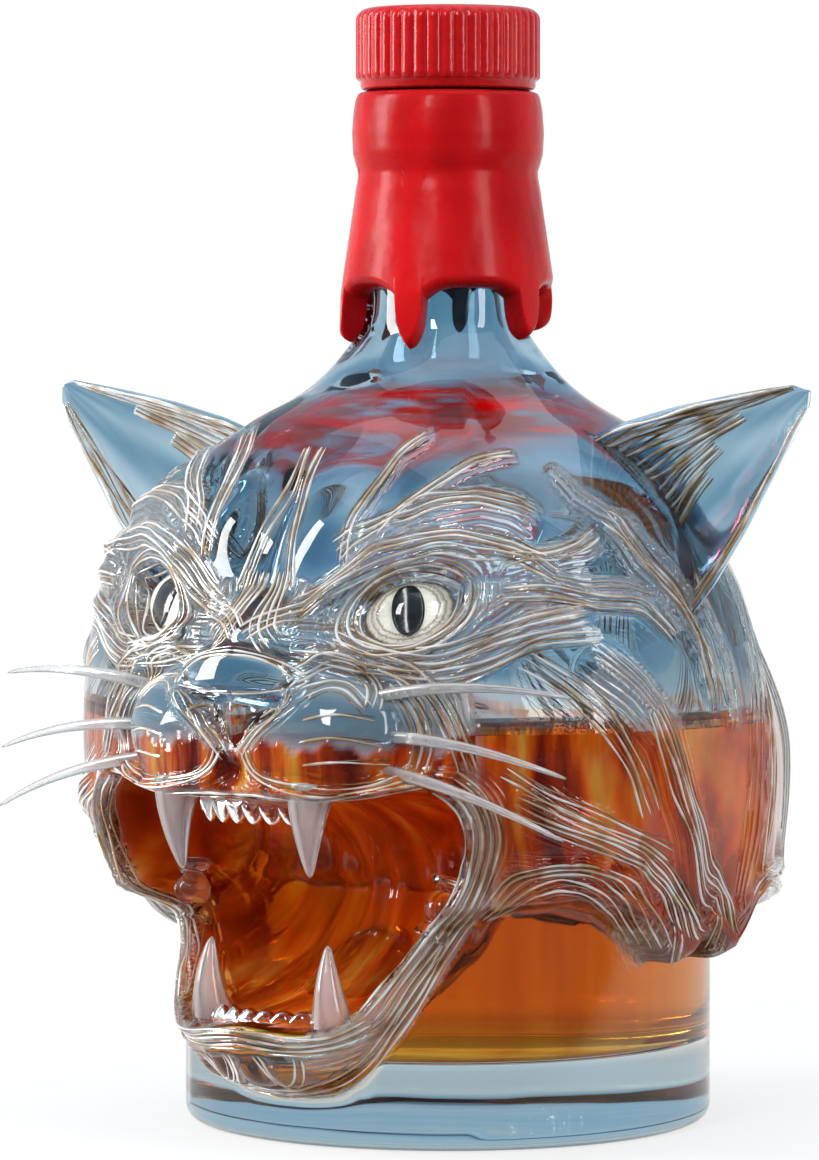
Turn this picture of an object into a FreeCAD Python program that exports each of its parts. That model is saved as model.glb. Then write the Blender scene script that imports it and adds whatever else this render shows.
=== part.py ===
"""Figural liquor decanter: a blown glass bottle whose body is a snarling wild cat's head on a plain round drum.

Frame: millimetres, +Z up, origin at the centre of the drum's underside. The cat looks along -Y, and its left
side is +X. The vessel is one hollow blown piece; ears, eyes, teeth, tongue and whiskers are worked separately
and seated on it. The neck is dipped in wax and closed by a ribbed stopper on a cork shank.
"""

import FreeCAD
import Part
import Sketcher
import math
import os

Vector = FreeCAD.Vector

# Driving dimensions: name, size in millimetres (degrees for turns), what it sets.
DRIVING = [
    ("base_radius", 50.0, "plain drum under the head"),
    ("foot_round", 3.0, "rounded lower edge of the drum"),
    ("floor_thick", 15.5, "solid glass under the liquor"),
    ("wall", 4.0, "blown glass wall"),
    ("head_overhang", 15.0, "how far the head stands out over the drum"),
    ("head_rise", 26.0, "widest ring of the head above its lower edge"),
    ("head_bend", 96.0, "bend of the head's side, from drum to crown"),
    ("head_floor", 40.0, "lower edge of the head above the table"),
    ("ruff_round", 6.0, "rounding of the head's lower edge"),
    ("neck_radius", 15.5, "glass neck"),
    ("flare_radius", 22.0, "sweep from the neck into the crown"),
    ("flare_bend", 28.0, "bend of that sweep"),
    ("neck_height", 24.7, "straight neck from the sweep to the collar"),
    ("collar_radius", 16.3, "glass ring round the mouth of the bottle"),
    ("collar_height", 15.0, "glass ring, low to high"),
    ("lip_round", 1.2, "rounded top edge of the collar"),
    ("bore_radius", 9.5, "hole through the neck"),
    ("liquor_level", 75.0, "height of the liquor's surface"),
    ("liquor_gap", 0.3, "film left between the liquor and the glass"),
    ("muzzle_proud", 4.0, "front of the whisker pads beyond the head"),
    ("muzzle_rise", 6.5, "middle of the whisker pads above the widest ring"),
    ("pad_width", 17.0, "half width of one whisker pad"),
    ("pad_depth", 17.0, "half depth of one whisker pad"),
    ("pad_height", 11.0, "half height of one whisker pad"),
    ("pad_spread", 13.0, "middle of a whisker pad from the mid plane"),
    ("nose_proud", 6.0, "front of the nose beyond the head"),
    ("nose_rise", 10.5, "middle of the nose above the whisker pads"),
    ("nose_width", 12.5, "half width of the nose"),
    ("bridge_rise", 8.0, "middle of the nose bridge above the nose"),
    ("bridge_width", 12.0, "half width of the nose bridge"),
    ("brow_rise", 10.5, "middle of a brow ridge above the eye"),
    ("brow_turn", 24.0, "angle of a brow ridge from the mid plane"),
    ("brow_length", 17.0, "half length of a brow ridge"),
    ("brow_proud", 5.5, "how far a brow ridge stands out"),
    ("brow_tilt", 22.0, "slope of a brow ridge down towards the nose"),
    ("cheek_turn", 56.0, "angle of a cheek from the mid plane"),
    ("cheek_radius", 20.0, "half width of a cheek"),
    ("cheek_tall", 25.0, "half height of a cheek"),
    ("cheek_proud", 4.5, "how far a cheek stands out of the head"),
    ("temple_turn", 56.0, "angle of a temple from the mid plane"),
    ("temple_rise", 38.0, "middle of a temple above the widest ring"),
    ("temple_width", 27.0, "half width of a temple"),
    ("temple_deep", 25.0, "half depth of a temple"),
    ("temple_tall", 29.0, "half height of a temple"),
    ("temple_proud", 7.5, "how far a temple stands out of the head"),
    ("temple_lean", 18.0, "lean of a temple back over the head"),
    ("back_inset", 4.0, "how far the back of the head is drawn in above the liquor"),
    ("back_low", 1.0, "where the back starts to draw in, above the liquor's surface"),
    ("back_rise", 12.0, "height over which the back draws in"),
    ("tuft_radius", 6.5, "half width of a fur tuft at its root"),
    ("tuft_length", 13.0, "fur tuft, root to point"),
    ("tuft_drop", 7.0, "how far a tuft hangs below the head"),
    ("mouth_width", 33.0, "half width of the open mouth"),
    ("mouth_depth", 36.0, "half depth of the open mouth"),
    ("mouth_tall", 21.0, "half height of the open mouth"),
    ("mouth_set", 10.0, "middle of the open mouth behind the jaw's front"),
    ("mouth_drop", 22.0, "middle of the open mouth under the widest ring"),
    ("jaw_proud", 16.0, "front of the lower jaw beyond the drum"),
    ("jaw_drop", 22.0, "middle of the lower jaw under the middle of the mouth"),
    ("jaw_width", 25.0, "half width of the lower jaw"),
    ("jaw_depth", 26.0, "half depth of the lower jaw"),
    ("jaw_floor", 7.0, "underside of the lower jaw above the table"),
    ("eye_turn", 28.0, "angle of an eye from the mid plane"),
    ("eye_rise", 33.5, "middle of an eye above the widest ring"),
    ("eye_tilt", 17.0, "how far an eye looks up"),
    ("eye_radius", 8.0, "round seat of an eye"),
    ("eye_dome", 3.6, "crown of an eye above its rim"),
    ("eye_rim", 1.4, "straight rim of an eye"),
    ("eye_seat", 2.2, "depth of an eye's seat in the wall"),
    ("eye_gap", 0.08, "glue line round an eye"),
    ("pupil_width", 1.9, "half width of the slit pupil"),
    ("pupil_height", 6.2, "half height of the slit pupil"),
    ("pupil_deep", 2.4, "how far the pupil is let into the eye, at its crown"),
    ("ear_rise", 47.0, "middle of an ear's root above the widest ring"),
    ("ear_turn", 80.0, "angle of an ear's root from the mid plane"),
    ("ear_sink", 12.0, "how deep an ear's root starts in the head"),
    ("ear_length", 52.0, "ear, root to tip"),
    ("ear_lean", 62.0, "lean of an ear from upright"),
    ("ear_heading", 87.0, "way an ear points, from the mid plane"),
    ("ear_roll", 90.0, "turn of an ear's bowl from down to forward"),
    ("ear_edge", 0.8, "half thickness of an ear's rim"),
    ("ear_width", 23.0, "half width of an ear at its root"),
    ("ear_back", 13.0, "bulge of an ear's back at its root"),
    ("ear_bowl", 9.0, "bulge of an ear's bowl at its root"),
    ("ear_tip", 2.2, "half width of an ear at its tip"),
    ("whisker_root", 0.95, "radius of a whisker at its root"),
    ("whisker_tip", 0.35, "radius of a whisker at its tip"),
    ("whisker_span", 64.0, "whisker tips from the mid plane"),
    ("upper_fang_radius", 3.4, "upper fang at its root"),
    ("upper_fang_length", 20.0, "upper fang, buried root to tip"),
    ("upper_fang_spread", 15.0, "upper fang from the mid plane"),
    ("lower_fang_radius", 3.4, "lower fang at its root"),
    ("lower_fang_length", 17.0, "lower fang, buried root to tip"),
    ("lower_fang_spread", 13.5, "lower fang from the mid plane"),
    ("fang_point", 0.45, "radius of a fang's point"),
    ("incisor_radius", 1.75, "small front tooth at its root"),
    ("incisor_length", 8.0, "small front tooth, buried root to tip"),
    ("incisor_pitch", 3.7, "small front teeth, middle to middle"),
    ("molar_radius", 3.3, "bead-like cheek tooth"),
    ("tongue_width", 12.0, "half width of the tongue"),
    ("tongue_length", 20.0, "half length of the tongue"),
    ("tongue_thick", 8.0, "half thickness of the tongue"),
    ("tongue_tilt", 38.0, "rise of the tongue towards the throat"),
    ("wax_gap", 0.05, "film between the wax and the glass"),
    ("wax_collar", 1.9, "wax over the collar"),
    ("wax_waist", 1.6, "wax just under the collar"),
    ("wax_skirt", 4.6, "wax at the skirt's lower edge"),
    ("wax_drop", 21.0, "wax skirt below the collar"),
    ("wax_top_gap", 0.4, "bare glass between the wax and the lip"),
    ("drip_radius", 2.6, "wax drip"),
    ("drip_length", 11.0, "longest wax drip below the skirt"),
    ("stopper_radius", 17.5, "ribbed stopper head"),
    ("stopper_height", 15.5, "stopper head"),
    ("stopper_foot", 16.6, "radius of the stopper's plain foot"),
    ("stopper_foot_height", 2.2, "plain foot under the ribs"),
    ("stopper_crown", 3.0, "rounded top edge of the stopper"),
    ("rib_depth", 0.9, "grooves between the ribs"),
    ("rib_groove", 0.95, "radius of a groove between the ribs"),
    ("cork_gap", 0.05, "clearance of the cork in the bore"),
    ("cork_length", 26.0, "cork shank below the lip"),
    ("cork_spigot", 5.0, "cork glued up into the stopper head"),
    ("cork_taper", 1.0, "chamfer at the cork's lower end"),
]
RIB_COUNT = 42
TUFT_TURNS = (80.0, 92.0, 128.0, 158.0)
DRIPS = ((13.0, 1.0), (85.0, 0.85), (145.0, 0.7), (200.0, 1.0), (255.0, 0.75), (310.0, 0.9))
INCISORS = (-2.5, -1.5, -0.5, 0.5, 1.5, 2.5)
# Whiskers from the top down: root and tip above the pads' middle, tip behind the pads' front, rise of the bow.
WHISKERS = (
    ("upper", 10.0, 12.5, 15.5, 5.0),
    ("middle", 4.0, -1.5, 13.7, 5.0),
    ("lower", -1.0, -12.5, 13.0, 4.5),
)


class Size:
    """A size that knows its value and the sheet formula that gives it, so both stay in step."""

    def __init__(self, value, formula):
        self.value = value
        self.formula = formula

    @staticmethod
    def of(thing):
        return thing if isinstance(thing, Size) else Size(float(thing), f"{float(thing):.6g}")

    def __add__(self, other):
        other = Size.of(other)
        return Size(self.value + other.value, f"({self.formula} + {other.formula})")

    def __sub__(self, other):
        other = Size.of(other)
        return Size(self.value - other.value, f"({self.formula} - {other.formula})")

    def __mul__(self, other):
        other = Size.of(other)
        return Size(self.value * other.value, f"({self.formula} * {other.formula})")

    def __truediv__(self, other):
        other = Size.of(other)
        return Size(self.value / other.value, f"({self.formula} / {other.formula})")

    def __neg__(self):
        return Size(-self.value, f"(0 - {self.formula})")


def root_of(size):
    """Square root of a size."""
    return Size(math.sqrt(size.value), f"sqrt({size.formula})")


def sine(turn):
    """Sine of a turn in degrees."""
    return Size(math.sin(math.radians(turn.value)), f"sin({turn.formula})")


def cosine(turn):
    """Cosine of a turn in degrees."""
    return Size(math.cos(math.radians(turn.value)), f"cos({turn.formula})")


doc = FreeCAD.newDocument("decanter")
sheet = doc.addObject("Spreadsheet::Sheet", "Sizes")
size = {}
for row, (alias, value, words) in enumerate(DRIVING, start=1):
    sheet.set(f"A{row}", alias)
    sheet.set(f"B{row}", f"{value:g}")
    sheet.set(f"C{row}", words)
    sheet.setAlias(f"B{row}", alias)
    size[alias] = Size(value, f"Sizes.{alias}")
doc.recompute()


def bind(thing, **sizes):
    """Ties properties of a document object to the sheet; a double underscore stands for a dot in the path."""
    for path, amount in sizes.items():
        thing.setExpression(path.replace("__", "."), Size.of(amount).formula)


def place(thing, at, turn=None):
    """Puts a thing at a point given in sizes, turned by a rotation about its own origin."""
    if turn is not None:
        thing.Placement = FreeCAD.Placement(Vector(0, 0, 0), turn)
    x, y, z = (Size.of(a) for a in at)
    bind(thing, Placement__Base__x=x, Placement__Base__y=y, Placement__Base__z=z)
    return thing


def around(turn, reach, height):
    """The point at an angle from the mid plane towards the cat's left, a reach from the axis, and a height."""
    turn = Size.of(turn)
    return (sine(turn) * reach, -(cosine(turn) * reach), height)


def facing(turn, tilt=0.0):
    """The rotation that points a piece's own +Z outwards at an angle from the mid plane, tilted up."""
    return FreeCAD.Rotation(Size.of(turn).value, 0, 90.0 - Size.of(tilt).value)


def spun(angle):
    """A turn about a piece's own +Z."""
    return FreeCAD.Rotation(Vector(0, 0, 1), Size.of(angle).value)


def ellipsoid(name, half_x, half_y, half_z, at, turn=FreeCAD.Rotation()):
    """An ellipsoid given by its half width, half depth and half height.

    It is spun by a quarter so that its seam lies on its own +Y side, which is the buried one.
    """
    solid = doc.addObject("Part::Ellipsoid", name)
    bind(solid, Radius2=half_y, Radius3=half_x, Radius1=half_z)
    return place(solid, at, turn * spun(90.0))


def sphere(name, radius, at):
    """A ball about a point."""
    solid = doc.addObject("Part::Sphere", name)
    bind(solid, Radius=radius)
    return place(solid, at)


def cylinder(name, radius, height, at, turn=None):
    """A round bar standing on a point."""
    solid = doc.addObject("Part::Cylinder", name)
    bind(solid, Radius=radius, Height=height)
    return place(solid, at, turn)


def cone(name, root, tip, length, at, turn):
    """A tapered bar from its root at a point, along its own +Z."""
    solid = doc.addObject("Part::Cone", name)
    bind(solid, Radius1=root, Radius2=tip, Height=length)
    return place(solid, at, turn)


def fuse(name, *solids):
    """Joins solids into one."""
    joined = doc.addObject("Part::MultiFuse", name)
    joined.Shapes = list(solids)
    joined.Refine = False
    return joined


def cut(name, base, tool):
    """Takes one solid away from another."""
    left_over = doc.addObject("Part::Cut", name)
    left_over.Base = base
    left_over.Tool = tool
    left_over.Refine = False
    return left_over


def mirrored(name, source):
    """The same piece on the other side of the mid plane."""
    twin = doc.addObject("Part::Mirroring", name)
    twin.Source = source
    twin.Normal = Vector(1, 0, 0)
    return twin


def origin_plane(body, role):
    """One of a body's own origin planes."""
    return next(f for f in body.Origin.OriginFeatures if f.Role == role)


def outline(body, name, points, bulges=None, plane="XZ_Plane", lift=None):
    """A closed sketch through points given in sizes; bulges gives the radius of an arc on some of its sides.

    A positive radius bends to the left of the way round, a negative one to the right.
    """
    sketch = body.newObject("Sketcher::SketchObject", name)
    sketch.AttachmentSupport = [(origin_plane(body, plane), "")]
    sketch.MapMode = "FlatFace"
    if lift is not None:
        bind(sketch, AttachmentOffset__Base__z=lift)
    bulges = bulges or {}
    corners = [(Size.of(x), Size.of(y)) for x, y in points]
    flat = [Vector(x.value, y.value, 0) for x, y in corners]
    for side, start in enumerate(flat):
        end = flat[(side + 1) % len(flat)]
        if side in bulges:
            sketch.addGeometry(arc_between(start, end, bulges[side].value), False)
        else:
            sketch.addGeometry(Part.LineSegment(start, end), False)
    for side, (x, y) in enumerate(corners):
        ahead = (side + 1) % len(corners)
        sketch.addConstraint(Sketcher.Constraint("Coincident", side, end_of(side, bulges),
                                                 ahead, start_of(ahead, bulges)))
        hold(sketch, "DistanceX", side, start_of(side, bulges), x)
        hold(sketch, "DistanceY", side, start_of(side, bulges), y)
        if side in bulges:
            bend = bulges[side]
            hold_radius(sketch, side, bend if bend.value > 0 else -bend)
    return sketch


def arc_between(start, end, bend):
    """The arc of a given radius from one point to another, under a half circle."""
    chord = end - start
    middle = (start + end) * 0.5
    left = Vector(-chord.y, chord.x, 0).normalize()
    reach = abs(bend)
    sagitta = reach - math.sqrt(max(reach * reach - chord.Length * chord.Length / 4.0, 0.0))
    crown = middle + left * (sagitta if bend > 0 else -sagitta)
    return Part.Arc(start, crown, end)


def start_of(side, bulges):
    """Which end of a side comes first: an arc drawn clockwise is stored from its far end."""
    return 1 if side not in bulges or bulges[side].value < 0 else 2


def end_of(side, bulges):
    """Which end of a side comes last."""
    return 3 - start_of(side, bulges)


def hold(sketch, kind, side, end, amount):
    """Keeps one end of a side at a coordinate from the sheet."""
    number = sketch.addConstraint(Sketcher.Constraint(kind, -1, 1, side, end, amount.value))
    sketch.setExpression(f"Constraints[{number}]", amount.formula)


def hold_radius(sketch, side, amount):
    """Keeps an arc's radius at a size from the sheet."""
    number = sketch.addConstraint(Sketcher.Constraint("Radius", side, amount.value))
    sketch.setExpression(f"Constraints[{number}]", amount.formula)


def turned(name, points, bulges=None):
    """A body turned about the upright axis from a half section given as (radius, height) points."""
    body = doc.addObject("PartDesign::Body", name)
    section = outline(body, f"{name}_section", points, bulges)
    spin = body.newObject("PartDesign::Revolution", f"{name}_turning")
    spin.Profile = section
    spin.ReferenceAxis = (section, ["V_Axis"])
    spin.Angle = 360.0
    return body


head_radius = size["base_radius"] + size["head_overhang"]
head_centre = size["head_floor"] + size["head_rise"]


def head_width(height, inset=0.0):
    """Half width of the head at a height: its side is an arc about a point beyond the axis, less an inset."""
    bend = size["head_bend"] - inset
    up = Size.of(height) - head_centre
    return head_radius - size["head_bend"] + root_of(bend * bend - up * up)


def head_height(reach, inset=0.0):
    """Height of the crown at a distance from the axis: the same arc, read the other way."""
    bend = size["head_bend"] - inset
    out = Size.of(reach) - head_radius + size["head_bend"]
    return head_centre + root_of(bend * bend - out * out)


# Reaches and heights that several pieces share.
head_floor = size["head_floor"]
mouth_height = head_centre - size["mouth_drop"]
jaw_height = mouth_height - size["jaw_drop"]
muzzle_height = head_centre + size["muzzle_rise"]
nose_height = muzzle_height + size["nose_rise"]
bridge_height = nose_height + size["bridge_rise"]
eye_height = head_centre + size["eye_rise"]
brow_height = eye_height + size["brow_rise"]
ear_height = head_centre + size["ear_rise"]
muzzle_reach = head_radius + size["muzzle_proud"]
nose_reach = head_radius + size["nose_proud"]
jaw_reach = size["base_radius"] + size["jaw_proud"]
mouth_reach = jaw_reach - size["mouth_set"]
crown_reach = size["neck_radius"] + size["flare_radius"]
flare_low = head_height(crown_reach)
neck_low = flare_low + size["flare_radius"]
collar_low = neck_low + size["neck_height"]
lip = collar_low + size["collar_height"]
collar_step = size["collar_radius"] - size["neck_radius"]
ruff_high = head_floor + size["ruff_round"]

# The outside of the vessel before its mouth is opened: the turned drum, head and neck, and the modelled
# swellings of the face.
turning = turned("turning", [
    (0, 0),
    (size["base_radius"] - size["foot_round"], 0),
    (size["base_radius"], size["foot_round"]),
    (size["base_radius"], head_floor),
    (head_width(ruff_high) - size["ruff_round"], head_floor),
    (head_width(ruff_high), ruff_high),
    (crown_reach, flare_low),
    (size["neck_radius"], neck_low),
    (size["neck_radius"], collar_low),
    (size["collar_radius"], collar_low + collar_step),
    (size["collar_radius"], lip - size["lip_round"]),
    (size["collar_radius"] - size["lip_round"], lip),
    (0, lip),
], {1: -size["foot_round"], 4: -size["ruff_round"], 5: -size["head_bend"], 6: size["flare_bend"],
    10: -size["lip_round"]})


def back_trim(name, inset):
    """The ring that draws in the back of the head: its bore is the head's own arc, set forward and less an inset."""
    low = size["liquor_level"] + size["back_low"]
    middle = low + size["back_rise"]
    top = head_height(crown_reach, inset)
    high = top - size["neck_radius"]
    clear = size["back_inset"] + 0.5
    beyond = head_radius * 1.3
    ring = turned(name, [
        (beyond, low),
        (beyond, top),
        (crown_reach + clear, top),
        (head_width(high, inset), high),
        (head_width(middle, inset), middle),
        (head_width(low, inset) + clear, low),
    ], {3: size["head_bend"] - inset})
    return place(ring, (0, -size["back_inset"], 0))


skull = cut("skull", turning, back_trim("back_trim", Size.of(0.0)))
bridge = ellipsoid("bridge", size["bridge_width"], 17.0, 11.0,
                   (0, -(nose_reach - 19.0), bridge_height))
nose = ellipsoid("nose", size["nose_width"], 8.0, 6.5, (0, -(nose_reach - 8.0), nose_height))
upper_lip = ellipsoid("upper_lip", 16.0, size["pad_depth"], 8.5,
                      (0, -(muzzle_reach - size["pad_depth"] - 2.0), muzzle_height - 2.5))
jaw = ellipsoid("jaw", size["jaw_width"], size["jaw_depth"], jaw_height - size["jaw_floor"],
                (0, -(jaw_reach - size["jaw_depth"]), jaw_height))

pad = ellipsoid("pad", size["pad_width"], size["pad_depth"], size["pad_height"],
                (size["pad_spread"], -(muzzle_reach - size["pad_depth"]), muzzle_height))
brow_deep = Size.of(10.0)
brow = ellipsoid("brow", size["brow_length"], brow_deep, 6.0,
                 around(size["brow_turn"], head_width(brow_height) + size["brow_proud"] - brow_deep,
                        brow_height),
                 spun(size["brow_turn"]) * FreeCAD.Rotation(Vector(0, 1, 0), -size["brow_tilt"].value))
cheek = ellipsoid("cheek", size["cheek_radius"], size["cheek_radius"], size["cheek_tall"],
                  around(size["cheek_turn"], head_radius + size["cheek_proud"] - size["cheek_radius"],
                         head_centre), spun(size["cheek_turn"]))
temple_height = head_centre + size["temple_rise"]
temple = ellipsoid("temple", size["temple_width"], size["temple_deep"], size["temple_tall"],
                   around(size["temple_turn"],
                          head_width(temple_height) + size["temple_proud"] - size["temple_deep"], temple_height),
                   spun(size["temple_turn"]) * FreeCAD.Rotation(Vector(1, 0, 0), -size["temple_lean"].value))
down = FreeCAD.Rotation(Vector(1, 0, 0), 180)
tufts = [cone(f"tuft_{n}", size["tuft_radius"], size["fang_point"], size["tuft_length"],
              around(turn, size["base_radius"] + size["tuft_radius"] * 0.5,
                     head_floor - size["tuft_drop"] + size["tuft_length"]), down)
         for n, turn in enumerate(TUFT_TURNS)]
left_swellings = fuse("left_swellings", pad, brow, cheek, temple, *tufts)
right_swellings = mirrored("right_swellings", left_swellings)
outside = fuse("outside", skull, bridge, nose, upper_lip, jaw, left_swellings, right_swellings)

# What is taken out of it: the open mouth and the two round seats of the eyes.
mouth_at = (0, -mouth_reach, mouth_height)


def mouth_egg(name, grown):
    """The open mouth, grown by an amount all round."""
    return ellipsoid(name, size["mouth_width"] + grown, size["mouth_depth"] + grown,
                     size["mouth_tall"] + grown, mouth_at)


eye_at = around(size["eye_turn"], head_width(eye_height) - size["eye_seat"], eye_height)
eye_facing = facing(size["eye_turn"], size["eye_tilt"])
left_seat = cylinder("left_seat", size["eye_radius"] + size["eye_gap"], size["eye_seat"] * 9.0, eye_at,
                     eye_facing)
right_seat = mirrored("right_seat", left_seat)
openings = fuse("openings", mouth_egg("mouth", Size.of(0.0)), left_seat, right_seat)
shell_outside = cut("shell_outside", outside, openings)

# The hollow: drum, head and bore, kept off the bowl of the mouth by the wall.
hollow_radius = size["base_radius"] - size["wall"]
inner_floor = head_floor + size["wall"]
inner_crown = head_height(crown_reach, size["wall"])
hollow_turning = turned("hollow_turning", [
    (0, size["floor_thick"]),
    (hollow_radius - size["wall"], size["floor_thick"]),
    (hollow_radius, size["floor_thick"] + size["wall"]),
    (hollow_radius, inner_floor),
    (head_width(inner_floor + size["ruff_round"], size["wall"]) - size["ruff_round"], inner_floor),
    (head_width(inner_floor + size["ruff_round"], size["wall"]), inner_floor + size["ruff_round"]),
    (crown_reach, inner_crown),
    (size["bore_radius"], inner_crown + crown_reach - size["bore_radius"]),
    (size["bore_radius"], lip + 2.0),
    (0, lip + 2.0),
], {1: -size["wall"], 4: -size["ruff_round"], 5: size["wall"] - size["head_bend"],
    6: crown_reach - size["bore_radius"]})
hollow_skull = cut("hollow_skull", hollow_turning, back_trim("inner_trim", size["wall"]))
hollow = cut("hollow", hollow_skull, mouth_egg("mouth_wall", size["wall"]))
glass_vessel = cut("glass_vessel", shell_outside, hollow)

# Liquor: the hollow drawn in by a film and filled to its level.
skin = size["wall"] + size["liquor_gap"]
liquor_radius = size["base_radius"] - skin
liquor_floor = head_floor + skin
liquor_turning = turned("liquor_turning", [
    (0, size["floor_thick"]),
    (liquor_radius - size["wall"], size["floor_thick"]),
    (liquor_radius, size["floor_thick"] + size["wall"]),
    (liquor_radius, liquor_floor),
    (head_width(liquor_floor + size["ruff_round"], skin) - size["ruff_round"], liquor_floor),
    (head_width(liquor_floor + size["ruff_round"], skin), liquor_floor + size["ruff_round"]),
    (head_width(size["liquor_level"], skin), size["liquor_level"]),
    (0, size["liquor_level"]),
], {1: -size["wall"], 4: -size["ruff_round"], 5: skin - size["head_bend"]})
liquor_fill = cut("liquor_fill", liquor_turning, mouth_egg("mouth_film", skin))

# Eyes: a domed glass button in each seat, with a black slit let into its crown.
dome = size["eye_dome"]
dome_bend = (size["eye_radius"] * size["eye_radius"] + dome * dome) / (dome * 2.0)
button = turned("button", [
    (0, 0),
    (size["eye_radius"], 0),
    (size["eye_radius"], size["eye_rim"]),
    (0, size["eye_rim"] + dome),
], {2: -dome_bend})
place(button, eye_at, eye_facing)
crown_of_eye = (
    eye_at[0] + sine(size["eye_turn"]) * cosine(size["eye_tilt"]) * (size["eye_rim"] + dome),
    eye_at[1] - cosine(size["eye_turn"]) * cosine(size["eye_tilt"]) * (size["eye_rim"] + dome),
    eye_at[2] + sine(size["eye_tilt"]) * (size["eye_rim"] + dome))
slit = ellipsoid("slit", size["pupil_width"], size["pupil_deep"], size["pupil_height"], crown_of_eye,
                 spun(size["eye_turn"]) * FreeCAD.Rotation(Vector(1, 0, 0), -size["eye_tilt"].value))
left_eye = cut("left_eye", button, slit)
left_pupil = doc.addObject("Part::Common", "left_pupil")
left_pupil.Base = button
left_pupil.Tool = slit
right_eye = mirrored("right_eye", left_eye)
right_pupil = mirrored("right_pupil", left_pupil)

# Ears: a cupped blade lofted from root to tip, trimmed where it meets the head.
ear_blank = doc.addObject("PartDesign::Body", "ear_blank")


def ear_section(name, share, lift):
    """The cupped section of an ear at a share of its root width and a lift along its length."""
    wide = size["ear_width"] * share
    back = size["ear_back"] * share
    bowl = size["ear_bowl"] * share
    edge = size["ear_edge"]
    back_bend = (wide * wide + back * back) / (back * 2.0)
    bowl_bend = (wide * wide + bowl * bowl) / (bowl * 2.0)
    return outline(ear_blank, name, [(-wide, edge), (wide, edge), (wide, -edge), (-wide, -edge)],
                   {0: back_bend, 2: -bowl_bend}, "XY_Plane", lift)


ear_loft = ear_blank.newObject("PartDesign::AdditiveLoft", "ear_loft")
ear_loft.Profile = ear_section("ear_root", Size.of(1.0), Size.of(0.0))
ear_loft.Sections = [ear_section("ear_middle", Size.of(0.72), size["ear_length"] * 0.55),
                     ear_section("ear_end", size["ear_tip"] / size["ear_width"], size["ear_length"])]
place(ear_blank, around(size["ear_turn"], head_width(ear_height) - size["ear_sink"], ear_height),
      FreeCAD.Rotation(size["ear_heading"].value, 0, size["ear_lean"].value) * spun(-size["ear_roll"]))
left_ear = cut("left_ear", ear_blank, outside)
right_ear = mirrored("right_ear", left_ear)


def rod(name, root, bend, tip):
    """A tapering glass rod along a bow from its root past a bend to its tip."""
    rings = []
    for n in range(6):
        t = n / 5.0
        spot = [a * (1.0 - t) ** 2 + b * (2.0 * t * (1.0 - t)) + c * t ** 2 for a, b, c in zip(root, bend, tip)]
        way = Vector(*[((b - a) * (1.0 - t) + (c - b) * t).value for a, b, c in zip(root, bend, tip)])
        ring = doc.addObject("Part::Circle", f"{name}_ring_{n}")
        bind(ring, Radius=size["whisker_root"] * (1.0 - t) + size["whisker_tip"] * t)
        rings.append(place(ring, spot, FreeCAD.Rotation(Vector(0, 0, 1), way)))
    drawn = doc.addObject("Part::Loft", name)
    drawn.Sections = rings
    drawn.Solid = True
    return drawn


whiskers = []
for level, root_height, tip_height, tip_back, bow in WHISKERS:
    root_at = [size["pad_spread"] + size["pad_width"] * 0.35, -(muzzle_reach - 12.0),
               muzzle_height + root_height]
    tip_at = [size["whisker_span"], -(muzzle_reach - tip_back), muzzle_height + tip_height]
    bend_at = [(a + b) * 0.5 for a, b in zip(root_at, tip_at)]
    bend_at[2] = bend_at[2] + bow
    bend_at[1] = bend_at[1] - 5.0
    left_whisker = cut(f"left_{level}_whisker", rod(f"{level}_rod", root_at, bend_at, tip_at), outside)
    whiskers += [left_whisker, mirrored(f"right_{level}_whisker", left_whisker)]

# Teeth and tongue, each trimmed by the glass it grows from.
upper_root = (size["upper_fang_spread"], -(muzzle_reach - 5.5), muzzle_height - 1.0)
upper_left_fang = cut("upper_left_fang", cone("upper_fang", size["upper_fang_radius"], size["fang_point"],
                                              size["upper_fang_length"], upper_root, down), shell_outside)
upper_right_fang = mirrored("upper_right_fang", upper_left_fang)
lower_root = (size["lower_fang_spread"], -(jaw_reach - 11.5), jaw_height - 1.0)
lean_out = FreeCAD.Rotation(Vector(1, 0, 0), 4)
lower_left_fang = cut("lower_left_fang", cone("lower_fang", size["lower_fang_radius"], size["fang_point"],
                                              size["lower_fang_length"], lower_root, lean_out), shell_outside)
lower_right_fang = mirrored("lower_right_fang", lower_left_fang)


def tooth_row(name, reach, height, bar_height, way):
    """A row of small front teeth on one gum bar, trimmed by the glass."""
    teeth = [cone(f"{name}_{n}", size["incisor_radius"], size["fang_point"], size["incisor_length"],
                  (size["incisor_pitch"] * step, -reach, height), way) for n, step in enumerate(INCISORS)]
    half = size["incisor_pitch"] * 2.5
    bar = cylinder(f"{name}_bar", size["incisor_radius"] * 0.8, half * 2.0, (-half, -reach, bar_height),
                   FreeCAD.Rotation(Vector(0, 1, 0), 90))
    return cut(name, fuse(f"{name}_blank", bar, *teeth), shell_outside)


upper_incisors = tooth_row("upper_incisors", muzzle_reach - 6.0, muzzle_height - 6.5,
                           mouth_height + size["mouth_tall"] - 1.4, down)
lower_incisors = tooth_row("lower_incisors", jaw_reach - 6.5, jaw_height + 1.0,
                           mouth_height - size["mouth_tall"] + 0.8, FreeCAD.Rotation())

beads = []
for n, (out, back, up) in enumerate(((0.88, 15.0, 6.0), (0.865, 13.5, 0.5), (0.815, 11.5, -5.0))):
    beads.append(sphere(f"bead_{n}", size["molar_radius"],
                        (size["mouth_width"] * out, mouth_at[1] + back, mouth_height + up)))
left_cheek_teeth = cut("left_cheek_teeth", fuse("bead_row", *beads), shell_outside)
right_cheek_teeth = mirrored("right_cheek_teeth", left_cheek_teeth)

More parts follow.
